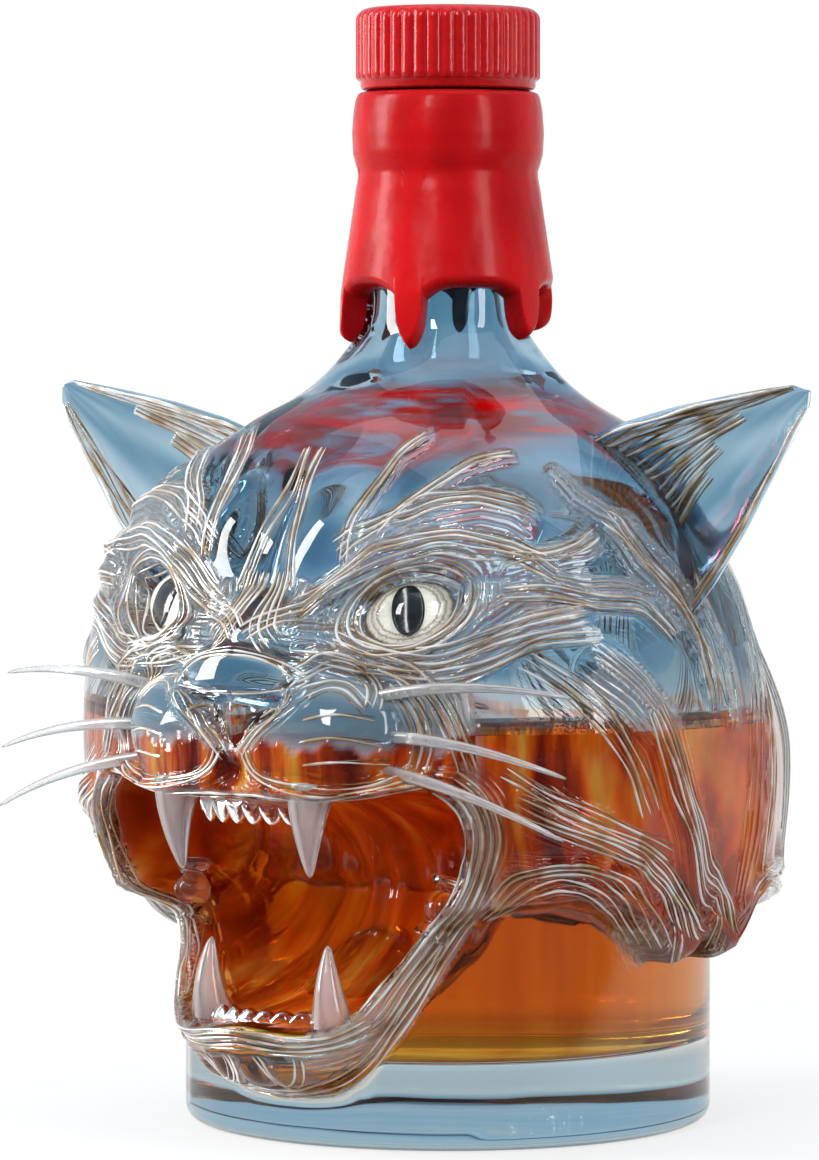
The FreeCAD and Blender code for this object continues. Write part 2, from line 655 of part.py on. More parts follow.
tongue_blank = ellipsoid("tongue_blank", size["tongue_width"], size["tongue_length"], size["tongue_thick"],
                         (0, mouth_at[1] + 16.0, mouth_height - 15.0),
                         FreeCAD.Rotation(Vector(1, 0, 0), size["tongue_tilt"].value))
tongue = cut("tongue", tongue_blank, shell_outside)

# Wax over the neck and collar, with its drips.
skirt = collar_low - size["wax_drop"]
wax_top = lip - size["wax_top_gap"]
wax_round = size["wax_collar"]
sleeve = turned("sleeve", [
    (size["neck_radius"] + size["wax_gap"], skirt),
    (size["neck_radius"] + size["wax_skirt"], skirt),
    (size["neck_radius"] + size["wax_waist"], collar_low - 2.5),
    (size["collar_radius"] + size["wax_collar"], collar_low + 1.0),
    (size["collar_radius"] + size["wax_collar"], wax_top - wax_round + size["wax_gap"]),
    (size["collar_radius"] + size["wax_gap"], wax_top),
    (size["collar_radius"] + size["wax_gap"], collar_low + collar_step),
    (size["neck_radius"] + size["wax_gap"], collar_low),
], {1: Size.of(60.0), 4: -wax_round})
drips = []
bead = size["drip_radius"]
for n, (turn, share) in enumerate(DRIPS):
    fall = size["drip_length"] * share
    drip = turned(f"drip_{n}", [(0, -bead), (bead, 0), (bead, fall + 3.0), (0, fall + 3.0 + bead)],
                  {0: -bead, 2: -bead})
    drips.append(place(drip, around(turn, size["neck_radius"] + bead * 1.08, skirt - fall)))
wax_sleeve = cut("wax_sleeve", fuse("wax_blank", sleeve, *drips), outside)

# Stopper: a ribbed head glued on a cork shank.
cork_radius = size["bore_radius"] - size["cork_gap"]
stopper_top = lip + size["stopper_height"]
stopper_head = turned("stopper_head", [
    (cork_radius, lip),
    (size["stopper_foot"], lip),
    (size["stopper_foot"], lip + size["stopper_foot_height"]),
    (size["stopper_radius"], lip + size["stopper_foot_height"]),
    (size["stopper_radius"], stopper_top - size["stopper_crown"]),
    (size["stopper_radius"] - size["stopper_crown"], stopper_top),
    (0, stopper_top),
    (0, lip + size["cork_spigot"]),
    (cork_radius, lip + size["cork_spigot"]),
], {4: -size["stopper_crown"]})
flute = stopper_head.newObject("Sketcher::SketchObject", "flute")
flute.AttachmentSupport = [(origin_plane(stopper_head, "XY_Plane"), "")]
flute.MapMode = "FlatFace"
bind(flute, AttachmentOffset__Base__z=lip)
flute_at = size["stopper_radius"] + size["rib_groove"] - size["rib_depth"]
flute.addGeometry(Part.Circle(Vector(flute_at.value, 0, 0), Vector(0, 0, 1), size["rib_groove"].value), False)
hold(flute, "DistanceX", 0, 3, flute_at)
hold(flute, "DistanceY", 0, 3, Size.of(0.0))
hold_radius(flute, 0, size["rib_groove"])
groove = stopper_head.newObject("PartDesign::Pocket", "groove")
groove.Profile = flute
groove.Reversed = True
bind(groove, Length=size["stopper_height"] - size["stopper_crown"])
ribs = stopper_head.newObject("PartDesign::PolarPattern", "ribs")
ribs.Originals = [groove]
ribs.Axis = (flute, ["N_Axis"])
ribs.Angle = 360.0
ribs.Occurrences = RIB_COUNT
stopper_head.Tip = ribs

cork = turned("cork", [
    (0, lip - size["cork_length"]),
    (cork_radius - size["cork_taper"], lip - size["cork_length"]),
    (cork_radius, lip - size["cork_length"] + size["cork_taper"]),
    (cork_radius, lip + size["cork_spigot"]),
    (0, lip + size["cork_spigot"]),
])

PIECES = [glass_vessel, left_ear, right_ear, left_eye, right_eye, left_pupil, right_pupil, *whiskers,
          upper_left_fang, upper_right_fang, lower_left_fang, lower_right_fang, upper_incisors, lower_incisors,
          left_cheek_teeth, right_cheek_teeth, tongue, wax_sleeve, liquor_fill, stopper_head, cork]
doc.recompute()

for thing in doc.Objects:
    if "Invalid" in thing.State or "Error" in thing.State:
        raise RuntimeError(f"{thing.Name} did not build: {thing.State}")
os.makedirs("parts", exist_ok=True)
for piece in PIECES:
    shape = piece.Shape
    if not shape.isValid() or not shape.Solids or shape.Volume <= 0:
        raise RuntimeError(f"{piece.Label} is not a sound solid")
    shape.exportStep(f"parts/{piece.Label}.step")
    box = shape.BoundBox
    print(f"{piece.Label}: {len(shape.Solids)} solid, {shape.Volume / 1000:.2f} ml, "
          f"x {box.XMin:.1f}..{box.XMax:.1f} y {box.YMin:.1f}..{box.YMax:.1f} z {box.ZMin:.1f}..{box.ZMax:.1f}")
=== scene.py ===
# %% [markdown]
# # A clear glass decanter shaped as a roaring wild cat
# The real bottle is pressed from clear glass: a heavy round foot, a drum that holds the liquor, and above
# it the cat's head, whose mouth is a cup pushed back into the drum. The CAD model gives the place and the
# size of every piece. Here each piece is made again as a finer surface, because fur, lids and lips are
# too soft for plain solids. The frame comes first, since everything else is measured against it.

import bpy
import numpy as np
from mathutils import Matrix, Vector


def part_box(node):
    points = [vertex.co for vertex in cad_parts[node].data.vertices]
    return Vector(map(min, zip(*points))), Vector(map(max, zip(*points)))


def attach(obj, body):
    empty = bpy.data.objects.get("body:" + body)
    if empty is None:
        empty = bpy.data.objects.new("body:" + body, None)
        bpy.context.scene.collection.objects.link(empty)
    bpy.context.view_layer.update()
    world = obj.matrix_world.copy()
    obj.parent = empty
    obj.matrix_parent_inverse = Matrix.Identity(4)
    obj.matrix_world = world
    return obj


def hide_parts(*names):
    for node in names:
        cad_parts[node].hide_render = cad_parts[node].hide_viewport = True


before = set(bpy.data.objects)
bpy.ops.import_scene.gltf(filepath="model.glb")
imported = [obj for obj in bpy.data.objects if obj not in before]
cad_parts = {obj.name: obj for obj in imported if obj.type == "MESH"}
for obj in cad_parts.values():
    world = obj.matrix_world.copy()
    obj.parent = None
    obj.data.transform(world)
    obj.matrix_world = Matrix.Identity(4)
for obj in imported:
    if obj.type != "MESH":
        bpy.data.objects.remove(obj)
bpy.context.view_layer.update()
MM = 0.001

# %% [markdown]
# ## Soft steps and bells
# Cast glass has no sharp step in it. Two small curves shape nearly everything below: an S that goes from
# 0 to 1, and a bell that is 1 in the middle and dies away. They could be drawn as curve widgets, but as
# plain formulas they work on whole arrays at once.


# %% The two curves and a soft larger-of-two
def ease(low, high, value):
    """0 below low, 1 above high, and the smooth S of 3t^2 - 2t^3 between them."""
    t = np.clip((np.asarray(value, float) - low) / (high - low), 0.0, 1.0)
    return t * t * (3.0 - 2.0 * t)


def bell(distance, width):
    """1 at distance 0, falling as exp(-(distance / width)^2)."""
    return np.exp(-((np.asarray(distance, float) / width) ** 2))


def soft_max(a, b, round_off):
    """The larger of a and b, with the corner where they meet rounded by about round_off."""
    return 0.5 * (a + b + np.sqrt((a - b) ** 2 + round_off**2))


print("ease at a half:", float(ease(0, 1, 0.5)), " bell at one width:", round(float(bell(1, 1)), 3))

# %% [markdown]
# ## From a grid of points to a mesh
# Every new piece is a grid: rows along it and columns round it. One helper joins neighbouring points with
# four-cornered faces and closes each open end with a fan to a single point, so each piece is watertight
# and its faces point outwards when the columns run anticlockwise and the rows run upwards.


# %% The grid helper
def weave(grid, first, closed):
    """Points and faces of one grid, numbered from first; closed ends get a fan to the mean of their row."""
    rows, columns = grid.shape[:2]
    i = np.arange(rows - 1)[:, None]
    j = np.arange(columns)[None, :]
    k = (j + 1) % columns
    faces = np.stack([i * columns + j, i * columns + k, (i + 1) * columns + k, (i + 1) * columns + j], -1)
    faces = (faces.reshape(-1, 4) + first).tolist()
    points = [grid.reshape(-1, 3)]
    if closed:
        ring = np.arange(columns) + first
        after = np.roll(ring, -1)
        last = (rows - 1) * columns
        extra = first + rows * columns
        points += [grid[0].mean(0)[None], grid[-1].mean(0)[None]]
        faces += np.stack([np.full(columns, extra), after, ring], 1).tolist()
        faces += np.stack([last + ring, last + after, np.full(columns, extra + 1)], 1).tolist()
    return np.concatenate(points), faces


def skin(name, grids, nodes, material, body="bottle", closed=True):
    """A piece from one grid[row, column] of points in mm, or from a list of them."""
    points, faces = np.zeros((0, 3)), []
    for grid in grids if isinstance(grids, list) else [grids]:
        woven, sides = weave(grid, len(points), closed)
        points = np.concatenate([points, woven])
        faces += sides
    mesh = bpy.data.meshes.new(name)
    mesh.from_pydata((points * MM).tolist(), [], faces)
    mesh.polygons.foreach_set("use_smooth", np.ones(len(mesh.polygons), bool))
    mesh.materials.append(material)
    piece = bpy.data.objects.new(name, mesh)
    bpy.context.scene.collection.objects.link(piece)
    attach(piece, body)
    if nodes:
        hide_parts(*nodes)
    print(f"{name}: {len(mesh.vertices)} points, {len(mesh.polygons)} faces")
    return piece


def carry(piece, name, values):
    """Stores three numbers per point on the mesh; the points added at the ends get zeros."""
    stored = np.zeros((len(piece.data.vertices), 3), np.float32)
    flat = values.reshape(-1, 3)
    stored[: len(flat)] = flat
    piece.data.attributes.new(name, "FLOAT_VECTOR", "POINT").data.foreach_set("vector", stored.ravel())


def spread(r, z, turn):
    """Points from a radius, a height and an angle round the axis in degrees, with 0 in front."""
    t = np.radians(turn)
    x, y = r * np.sin(t), -r * np.cos(t)
    return np.stack([x, y, np.broadcast_to(z, x.shape)], -1)


def smooth(line, passes, loose=True):
    """Each pass moves every loose inner point halfway to the mean of its two neighbours."""
    for _ in range(passes):
        eased = 0.5 * line[1:-1] + 0.25 * (line[:-2] + line[2:])
        line[1:-1] = np.where(loose, eased, line[1:-1])
    return line


HANDS = ((1, "left"), (-1, "right"))


# %% [markdown]
# ## The glass itself
# Clear glass is easy to state and hard to make interesting: a transmission shader with the refractive
# index of bottle glass. What gives this bottle its look is the combing, bundles of fine ridges about a
# millimetre apart that run round the eyes, the lips and the fur. Modelling each ridge would take millions
# of faces, so each point of the glass carries a count of ridges (comb_phase) and how strong they are
# there (comb_mask), and a node group turns the count into a height for the bump.


# %% Node helpers
def new_material(name):
    """A material with a Principled shader; gives the material, its node tree and the shader."""
    material = bpy.data.materials.new(name)
    material.use_nodes = True
    return material, material.node_tree, material.node_tree.nodes["Principled BSDF"]


def feed(tree, value, socket):
    """Gives a socket a link from another socket, or a number or a colour of its own."""
    if hasattr(value, "is_output"):
        tree.links.new(value, socket)
        return
    for link in socket.links:
        tree.links.remove(link)
    socket.default_value = value if np.isscalar(value) else (*value, 1.0)


def feed_all(tree, shader, settings):
    """Feeds each named input of a shader."""
    for name, value in settings.items():
        feed(tree, value, shader.inputs[name])


def object_place(tree):
    """The place in the piece's own coordinates, in metres."""
    return tree.nodes.new("ShaderNodeTexCoord").outputs["Object"]


def split_node(tree, vector):
    """The three parts of a vector."""
    node = tree.nodes.new("ShaderNodeSeparateXYZ")
    tree.links.new(vector, node.inputs["Vector"])
    return node.outputs


def read_node(tree, name, output="Vector"):
    """What each point of the mesh carries under a name."""
    node = tree.nodes.new("ShaderNodeAttribute")
    node.attribute_name = name
    return node.outputs[output]


def bump_node(tree, height, distance, strength=1.0):
    """A normal from a height; distance is in metres."""
    node = tree.nodes.new("ShaderNodeBump")
    feed_all(tree, node, {"Strength": strength, "Distance": distance, "Height": height})
    return node.outputs["Normal"]


def math_node(tree, operation, first, *others):
    """One Math node for each further value, from left to right; a value is a socket or a number."""
    result = first
    for other in others or (None,):
        node = tree.nodes.new("ShaderNodeMath")
        node.operation = operation
        feed(tree, result, node.inputs[0])
        if other is not None:
            feed(tree, other, node.inputs[1])
        result = node.outputs[0]
    return result


def wobble(tree, value, middle, amount):
    """A noise taken from its middle and scaled, to be added to something."""
    return math_node(tree, "MULTIPLY", math_node(tree, "SUBTRACT", value, middle), amount)


def noise_node(tree, vector, scale, detail=3.0, stretch=(1.0, 1.0, 1.0)):
    """Noise on a coordinate that is first stretched along each axis."""
    mapping = tree.nodes.new("ShaderNodeMapping")
    mapping.inputs["Scale"].default_value = stretch
    noise = tree.nodes.new("ShaderNodeTexNoise")
    noise.inputs["Scale"].default_value = scale
    noise.inputs["Detail"].default_value = detail
    tree.links.new(vector, mapping.inputs["Vector"])
    tree.links.new(mapping.outputs["Vector"], noise.inputs["Vector"])
    return noise.outputs["Fac"]


def ramp_node(tree, factor, stops):
    """A colour ramp from (place, colour) stops."""
    ramp = tree.nodes.new("ShaderNodeValToRGB")
    points = ramp.color_ramp.elements
    while len(points) < len(stops):
        points.new(0.5)
    for point, (place, colour) in zip(points, stops):
        point.position = place
        point.color = (*colour, 1.0)
    tree.links.new(factor, ramp.inputs["Fac"])
    return ramp.outputs["Color"]


def mix_node(tree, factor, first, second):
    """A colour between first and second; each value is a socket, a number or a colour."""
    node = tree.nodes.new("ShaderNodeMix")
    node.data_type = "RGBA"
    for socket, value in ((node.inputs[0], factor), (node.inputs[6], first), (node.inputs[7], second)):
        feed(tree, value, socket)
    return node.outputs[2]


def range_node(tree, value, low, high, start=0.0):
    """From start at low to 1 at high, straight between them and held outside."""
    node = tree.nodes.new("ShaderNodeMapRange")
    feed_all(tree, node, {"Value": value, "From Min": low, "From Max": high, "To Min": start})
    return node.outputs["Result"]


def new_group(name, outputs):
    """An empty node group with float or colour outputs, and its output node."""
    group = bpy.data.node_groups.new(name, "ShaderNodeTree")
    for label, kind in outputs:
        group.interface.new_socket(name=label, in_out="OUTPUT", socket_type=kind)
    return group, group.nodes.new("NodeGroupOutput")


def use_group(tree, group):
    """Puts a group into a material's tree; gives its outputs."""
    node = tree.nodes.new("ShaderNodeGroup")
    node.node_tree = group
    return node.outputs


# %% Tints of the glass, with their heights in mm: painted reflections of the surroundings and of the wax, painted shade, and the liquor's amber painted as its glow
GLASS_PALE = (0.95, 0.96, 0.95)
# Painted reflection of blue surroundings in the clear glass: blue on the head, deeper on the neck, blue and
# grey low down
HEAD_BLUE_REFLECTION = (0.49, 0.66, 0.78)
LOW_BLUE_REFLECTION = (0.25, 0.41, 0.52)
LOW_GREY_REFLECTION = (0.54, 0.54, 0.51)
NECK_BLUE_REFLECTION = (0.31, 0.50, 0.62)
# Painted reflection: dark blue patches, in clouds above the liquor, at the blue places and in the ears' bowls
DARK_BLUE_REFLECTION = (0.10, 0.25, 0.36)
# Painted shade in the eyes' corners, above and below the eyes, under the nose and at the ears' roots
SHADE_BROWN = (0.46, 0.25, 0.10)
# Painted shade lines between the combed ridges
COMB_SHADE_LINE = (0.46, 0.36, 0.26)
# Painted reflection of the red wax in the shoulder glass below it
WAX_GLINT = (0.80, 0.03, 0.02)
PATCHES_FROM, GLINTS_FROM, GLINTS_TO, GLINTS_OFF_EAR = (80, 94), (124, 128), (140, 136), (38, 28)
# The liquor's own amber painted as its backlit glow, from dark red to bright gold
LIQUOR_GLOW_TONES = [
    (0.36, (0.13, 0.008, 0.001)),
    (0.46, (0.52, 0.06, 0.003)),
    (0.55, (0.92, 0.18, 0.008)),
    (0.66, (1.0, 0.50, 0.06)),
]
# The bands by height: painted reflection low down, nearly clear glass over the drum, painted blue reflection
# on the head and the neck
BANDS_TOP = 200.0
BANDS = [
    (0.0, LOW_BLUE_REFLECTION), (7.2, LOW_BLUE_REFLECTION), (9.2, LOW_GREY_REFLECTION), (14.8, LOW_GREY_REFLECTION), (18.0, GLASS_PALE),
    (74.0, GLASS_PALE), (92.0, HEAD_BLUE_REFLECTION), (136.0, HEAD_BLUE_REFLECTION), (152.0, NECK_BLUE_REFLECTION), (BANDS_TOP, NECK_BLUE_REFLECTION),
]
print("bands of tint from foot to neck:", len(BANDS))


# %% The combed glass
def combed_group():
    """Height is mask * (half + half sin(2 pi count))^1.6 over three bundles; the tint gets painted shade
    lines in between, painted reflections, painted shade and the liquor's painted glow.
    """
    group, out = new_group("combed_glass", [("Height", "NodeSocketFloat"), ("Tint", "NodeSocketColor")])
    carried = [split_node(group, read_node(group, name)) for name in ("comb_phase", "comb_mask", "paint")]
    count, strength, (blue, brown, fire) = carried
    ridges, lines = [], []
    for axis in range(3):
        wave = math_node(group, "SINE", math_node(group, "MULTIPLY", count[axis], 2 * np.pi))
        crest = math_node(group, "POWER", range_node(group, wave, -1.0, 1.0), 1.6)
        # The valleys between the ridges give painted shade lines in the tint
        valley = math_node(group, "POWER", range_node(group, wave, 1.0, -1.0), 5.0)
        ridges.append(math_node(group, "MULTIPLY", crest, strength[axis]))
        lines.append(math_node(group, "MULTIPLY", valley, strength[axis]))
    place = object_place(group)
    x, _, tall = split_node(group, place)
    swell = math_node(group, "MULTIPLY", noise_node(group, place, 55.0, 1.0), 0.8)
    # Streaks of the liquor's painted glow, which also raise the bump
    flame = noise_node(group, place, 230.0, 3.0, (1.0, 0.16, 0.12))
    licks = math_node(group, "MULTIPLY", flame, 2.5, fire)
    group.links.new(math_node(group, "ADD", *ridges, swell, licks), out.inputs["Height"])
    # Painted reflection: clouds of dark blue above the liquor
    cloud = range_node(group, noise_node(group, place, 42.0, 1.5), 0.46, 0.66)
    aside = math_node(group, "ABSOLUTE", x)
    fades = ((tall, PATCHES_FROM), (tall, GLINTS_FROM), (tall, GLINTS_TO), (aside, GLINTS_OFF_EAR))
    above_liquor, *under_wax = (range_node(group, way, low * MM, high * MM) for way, (low, high) in fades)
    # Painted reflection of the wax: red streaks in the shoulder under the wax, away from the ears
    glint = range_node(group, noise_node(group, place, 60.0, 2.0, (1.0, 1.0, 5.0)), 0.38, 0.52)
    layers = [
        (math_node(group, "MULTIPLY", cloud, above_liquor, 0.45), DARK_BLUE_REFLECTION),
        (blue, DARK_BLUE_REFLECTION),
        (brown, SHADE_BROWN),
        (math_node(group, "MULTIPLY", *under_wax, glint), WAX_GLINT),
        (math_node(group, "MULTIPLY", math_node(group, "MAXIMUM", *lines), 0.8), COMB_SHADE_LINE),
        (fire, ramp_node(group, flame, LIQUOR_GLOW_TONES)),
    ]
    share = math_node(group, "MULTIPLY", tall, 1 / (BANDS_TOP * MM))
    tint = ramp_node(group, share, [(z / BANDS_TOP, colour) for z, colour in BANDS])
    for factor, colour in layers:
        tint = mix_node(group, factor, tint, colour)
    group.links.new(tint, out.inputs["Tint"])
    return group


def glass_like(source, name, settings, veil=None):
    """A copy of a glass with some inputs set anew; veil is a share and a colour mixed into its tint."""
    material = source.copy()
    material.name = name
    tree = material.node_tree
    shader = tree.nodes["Principled BSDF"]
    feed_all(tree, shader, settings)
    if veil:
        base = shader.inputs["Base Color"]
        feed(tree, mix_node(tree, veil[0], base.links[0].from_socket, veil[1]), base)
    return material


GLASS_INDEX = 1.5
glass, tree, shader = new_material("clear_combed_glass")
combed = use_group(tree, combed_group())
feed_all(tree, shader, {
    "Base Color": combed["Tint"], "Normal": bump_node(tree, combed["Height"], 0.00035, 0.8),
    "Transmission Weight": 1.0, "IOR": GLASS_INDEX, "Roughness": 0.0})
clear = glass_like(glass, "clear_smooth_glass", {"Base Color": (0.90, 0.94, 0.96)})
print("glass:", glass.name, "and", clear.name)

# %% [markdown]
# ## The outline of the bottle
# A pressed bottle starts from a shape of revolution, so its outline is a list of (radius, height) points
# from the middle of the foot up the outside, over the lip and down the inside to the floor. The head's
# side is one arc of 96 mm about a point 31 mm beyond the axis, the same as in the CAD model, and
# everything the carver adds is a push along the surface from there.


# %% The head's arc and the outline's parts
HEAD_ARC, HEAD_MID, HEAD_BEYOND = 96.0, 66.0, 31.0
DRUM_RADIUS, WALL = 50.0, 4.0
FLARE_MID, FLARE_BEND, NECK_RADIUS = (37.5, 155.3), 22.0, 15.5


def head_radius(z, inset=0.0):
    """Radius of the bare head, or of a skin inset in it: sqrt((96 - inset)^2 - (z - 66)^2) - 31."""
    square = (HEAD_ARC - inset) ** 2 - (np.asarray(z, float) - HEAD_MID) ** 2
    return np.sqrt(np.maximum(square, 0)) - HEAD_BEYOND


def run(first, last, count):
    """Evenly spaced points on a straight line."""
    return np.linspace(first, last, count)


def bow(centre, radius, start, stop, count):
    """Points of an arc, angles in degrees from the outward direction."""
    t = np.radians(np.linspace(start, stop, count))
    return np.stack([centre[0] + radius * np.cos(t), centre[1] + radius * np.sin(t)], 1)


foot = np.concatenate([run((6, 1.2), (40, 1.0), 5), [(43.5, 0.3), (45.5, 0.0)], bow((47, 3), 3, -90, 0, 6)])
drum = run((DRUM_RADIUS, 3.7), (DRUM_RADIUS, 38.4), 46)
ruff_step = [(50.4, 39.3), (51.5, 39.9)]
ruff = np.concatenate([ruff_step, run((53.2, 40), (56.9, 40), 3), bow((56.9, 46), 6, -75, -8, 6)])
head_z = np.arange(46.8, 132.9, 0.74)
head = np.stack([head_radius(head_z), head_z], 1)
flare = bow(FLARE_MID, FLARE_BEND, -92, -180, 18)
straight = [(NECK_RADIUS, 158), (NECK_RADIUS, 166), (NECK_RADIUS, 179)]
collar = [(15.9, 180.2), (16.3, 181), (16.3, 193.8), (15.9, 194.7)]
lip = [(15.1, 195), (12.5, 195), (10.3, 195), (9.7, 194.6), (9.5, 193.9), (9.5, 178), (9.5, 164)]
outside = np.concatenate([foot, drum, ruff, head, flare, straight, collar, lip])


def relax(profile, low, high, passes):
    """Rounds the corner between two heights, outside the neck."""
    inner = profile[1:-1]
    loose = (inner[:, 1] > low) & (inner[:, 1] < high) & (inner[:, 0] > NECK_RADIUS + 1)
    return smooth(profile, passes, loose[:, None])


outside = relax(outside, 118, 150, 45)
print("outside rows:", len(outside), " head rows:", len(head))

# %% The inside, from the neck's bore down to the floor
inner_flare = bow((37.5, 155.4), 28, 180, 270, 14)
inner_z = 126.5 - 1.5 * np.arange(50)
inner_head = np.stack([head_radius(inner_z, WALL), inner_z], 1)
inner_ruff = np.concatenate([bow((52.6, 50), 6, 5, -80, 7), [(51.5, 44), (48.6, 43.9), (46.6, 43.2)]])
inner_drum = run((DRUM_RADIUS - WALL, 42), (DRUM_RADIUS - WALL, 20.6), 17)
inner_floor = np.concatenate([bow((42, 19.5), 4, -5, -85, 5), run((38, 15.5), (5, 15.5), 6)])
inside = np.concatenate([inner_flare, inner_head, inner_ruff, inner_drum, inner_floor])
inside = relax(inside, 108, 147, 60)
print("inside rows:", len(inside))


# %% [markdown]
# ## Columns where the face is
# A sphere's even columns would waste points on the plain back of the head. The columns stand close
# together across the face and drift apart behind, by adding up a density and reading it backwards.


# %% Angles round the axis
def crowded_turns(count, fine=0.74, coarse=3.0):
    """Angles whose gap is fine in front and coarse behind: equal steps of the summed density 1 / gap."""
    turn = np.linspace(-180.0, 180.0, 7201)
    gap = fine + (coarse - fine) * ease(58, 130, np.abs(turn))
    rank = np.concatenate([[0.0], np.cumsum(0.5 * (1 / gap[1:] + 1 / gap[:-1]))])
    return np.interp(np.linspace(0, rank[-1], count, endpoint=False), rank, turn)


turns = crowded_turns(286)
away = np.abs(turns)[None, :]
print("finest gap in degrees:", round(float(np.diff(turns).min()), 2))

# %% [markdown]
# ## The mouth
# The mouth is a wide open roar: its rim is a closed line on the front of the head, drawn here in polar
# form about a point in the middle of the mouth. A distance from that rim then does three jobs: outside it
# raises the lips, inside it becomes the way back into the cup, and it counts the fine ridges that circle
# the mouth.

# %% The rim, and the distance from it; ARC is mm to a degree on the face
ARC = 1.047
MOUTH_MID = 44.0
RIM = np.array([
    (0, 65), (6, 65), (13, 64.8), (20, 65.3), (26, 66.8), (31, 67.8), (35.5, 65.0), (37.5, 59), (36.5, 51.5),
    (33, 45), (27.5, 37.5), (22.5, 32), (19.3, 27.5), (15.5, 24.2), (10, 23.2), (4, 24), (0, 24.2)])
rim_turn = np.degrees(np.arctan2(RIM[:, 1] - MOUTH_MID, RIM[:, 0] * ARC))
rim_reach = np.hypot(RIM[:, 1] - MOUTH_MID, RIM[:, 0] * ARC)
fine_turn = np.linspace(-90, 90, 361)
fine_reach = smooth(np.interp(fine_turn, rim_turn[::-1], rim_reach[::-1]), 60)


def mouth_polar(a, z):
    """Angle in degrees, 90 is up, distance from the mouth's middle and the rim's distance there, in mm."""
    across = np.abs(a) * ARC
    turn = np.degrees(np.arctan2(z - MOUTH_MID, across + 1e-6))
    return turn, np.hypot(across, z - MOUTH_MID), np.interp(turn, fine_turn, fine_reach)


print("mouth rim reaches", fine_reach.min().round(1), "to", fine_reach.max().round(1), "mm from its middle")

# %% [markdown]
# ## Strokes
# Brows, lids' tails, cheek bands and the locks of the ruff are all strokes of the carver's tool: a line
# on the head, a swelling along it, and fine ridges beside it. Each is a short list of places, angle from
# the middle and height, and the distance to that line gives both the swelling and the count of ridges.

# %% The carver's strokes: places, swelling height and width, width of the combing
STROKES = [
    ([(9, 97.5), (13, 100.5), (18, 104), (23, 107), (29, 108.8), (37, 109), (45, 106.5), (52, 103)],
     3.4, 2.2, 4.0),
    ([(18, 107), (25, 111.5), (33, 114.2), (41, 114.6), (46, 113.4), (51, 110.6)], 2.6, 3.4, 4.6),
    ([(17, 106), (17.5, 114), (20, 120), (24, 126), (32, 130.5)], 1.2, 0.95, 2.0),
    ([(22, 110), (27, 116), (34, 120), (41, 123.5), (51, 125.5)], 1.2, 0.95, 2.0),
    ([(16, 93.5), (22, 91.5), (28, 90.5), (34, 92.3), (40, 96.5), (47, 100.3), (56, 101)], 1.5, 1.5, 3.0),
    ([(9, 92.5), (16, 90.5), (24, 88.3), (31, 87), (39, 90.5), (48, 95.5), (58, 96.5)], 1.4, 1.6, 4.0),
    ([(40, 105.5), (47, 105), (52, 106), (58, 107), (62, 109)], 1.2, 1.2, 2.5),
    ([(41, 101), (47, 103), (52, 101.5), (58, 100), (65, 100), (71, 99), (77, 93)], 1.2, 1.2, 3.0),
    ([(63, 113), (65, 110), (68, 105), (74, 101), (78, 97), (82, 90), (84, 80)], 2.0, 1.7, 3.0),
    ([(66, 114), (69, 110.5), (75, 107), (80, 102), (85, 98), (88, 88), (89, 76)], 2.0, 1.7, 3.0),
    ([(56, 90), (64, 83), (70, 76), (74, 64), (79, 52), (88, 37)], 1.8, 2.0, 5.0),
    ([(45, 68), (51, 62.5), (59, 58), (66, 52), (72, 45), (79, 36)], 1.7, 2.0, 5.0),
    ([(42, 52), (48, 50.5), (56, 50), (64, 47.5), (71, 43)], 1.2, 1.6, 4.0),
    ([(9, 104), (7.5, 98), (7, 94)], 1.0, 1.2, 2.5),
    ([(1.8, 73.5), (4.5, 76.8), (8.5, 80.2), (12.4, 84), (13.6, 87)], 1.3, 0.9, 2.0),
    ([(1.8, 71), (3.4, 68.8), (7, 67.2), (13, 66.2), (20, 66.6), (26, 68.6), (30, 71)], 1.5, 1.0, 2.4),
    ([(11, 89.5), (14.5, 91.2), (19, 91), (24, 88.4), (29, 84.5), (31, 79), (31, 74)], 1.7, 1.2, 3.2),
    ([(4, 95), (11, 95), (18, 94.5), (25, 92.5), (31, 88.5), (35.5, 83), (37, 75)], 1.4, 1.3, 3.0),
    ([(57, 123), (60, 117), (66, 112.5), (74, 112)], 1.5, 1.5, 3.0),
    ([(104, 112), (103, 95), (99, 75), (96, 55), (93, 36)], 1.6, 2.4, 5.0),
    ([(126, 114), (127, 92), (127, 66), (128, 36)], 1.8, 2.6, 6.0),
    ([(151, 114), (154, 90), (157, 62), (158, 36)], 1.8, 2.6, 6.0),
    ([(179, 112), (178, 88), (178, 62), (178, 40)], 1.8, 2.6, 6.0),
]
PITCH, COMBED = 1.15, 0.3


def to_line(places, a, z):
    """Distance in mm from places to a broken line, and how far along it the nearest point is, 0 to 1."""
    corners = np.array(places, float) * (ARC, 1.0)
    lengths = np.hypot(*np.diff(corners, axis=0).T)
    begun = np.concatenate([[0.0], np.cumsum(lengths)])
    best = np.full(np.broadcast(a, z).shape, 1e9)
    along = np.zeros_like(best)
    for (p, q), span, before in zip(zip(corners[:-1], corners[1:]), lengths, begun):
        step = (q - p) / span
        t = np.clip((a * ARC - p[0]) * step[0] + (z - p[1]) * step[1], 0.0, span)
        d = np.hypot(a * ARC - p[0] - t * step[0], z - p[1] - t * step[1])
        nearer = d < best
        best = np.where(nearer, d, best)
        along = np.where(nearer, (before + t) / begun[-1], along)
    return best, along


print("strokes:", len(STROKES))

# %% [markdown]
# ## The eyes' places
# Each eye lies in an almond whose outer corner is the higher one. A distance counted in almonds, 1 on the
# lid's edge, sets the socket, the lids' folds and the ridges that ring the eye.

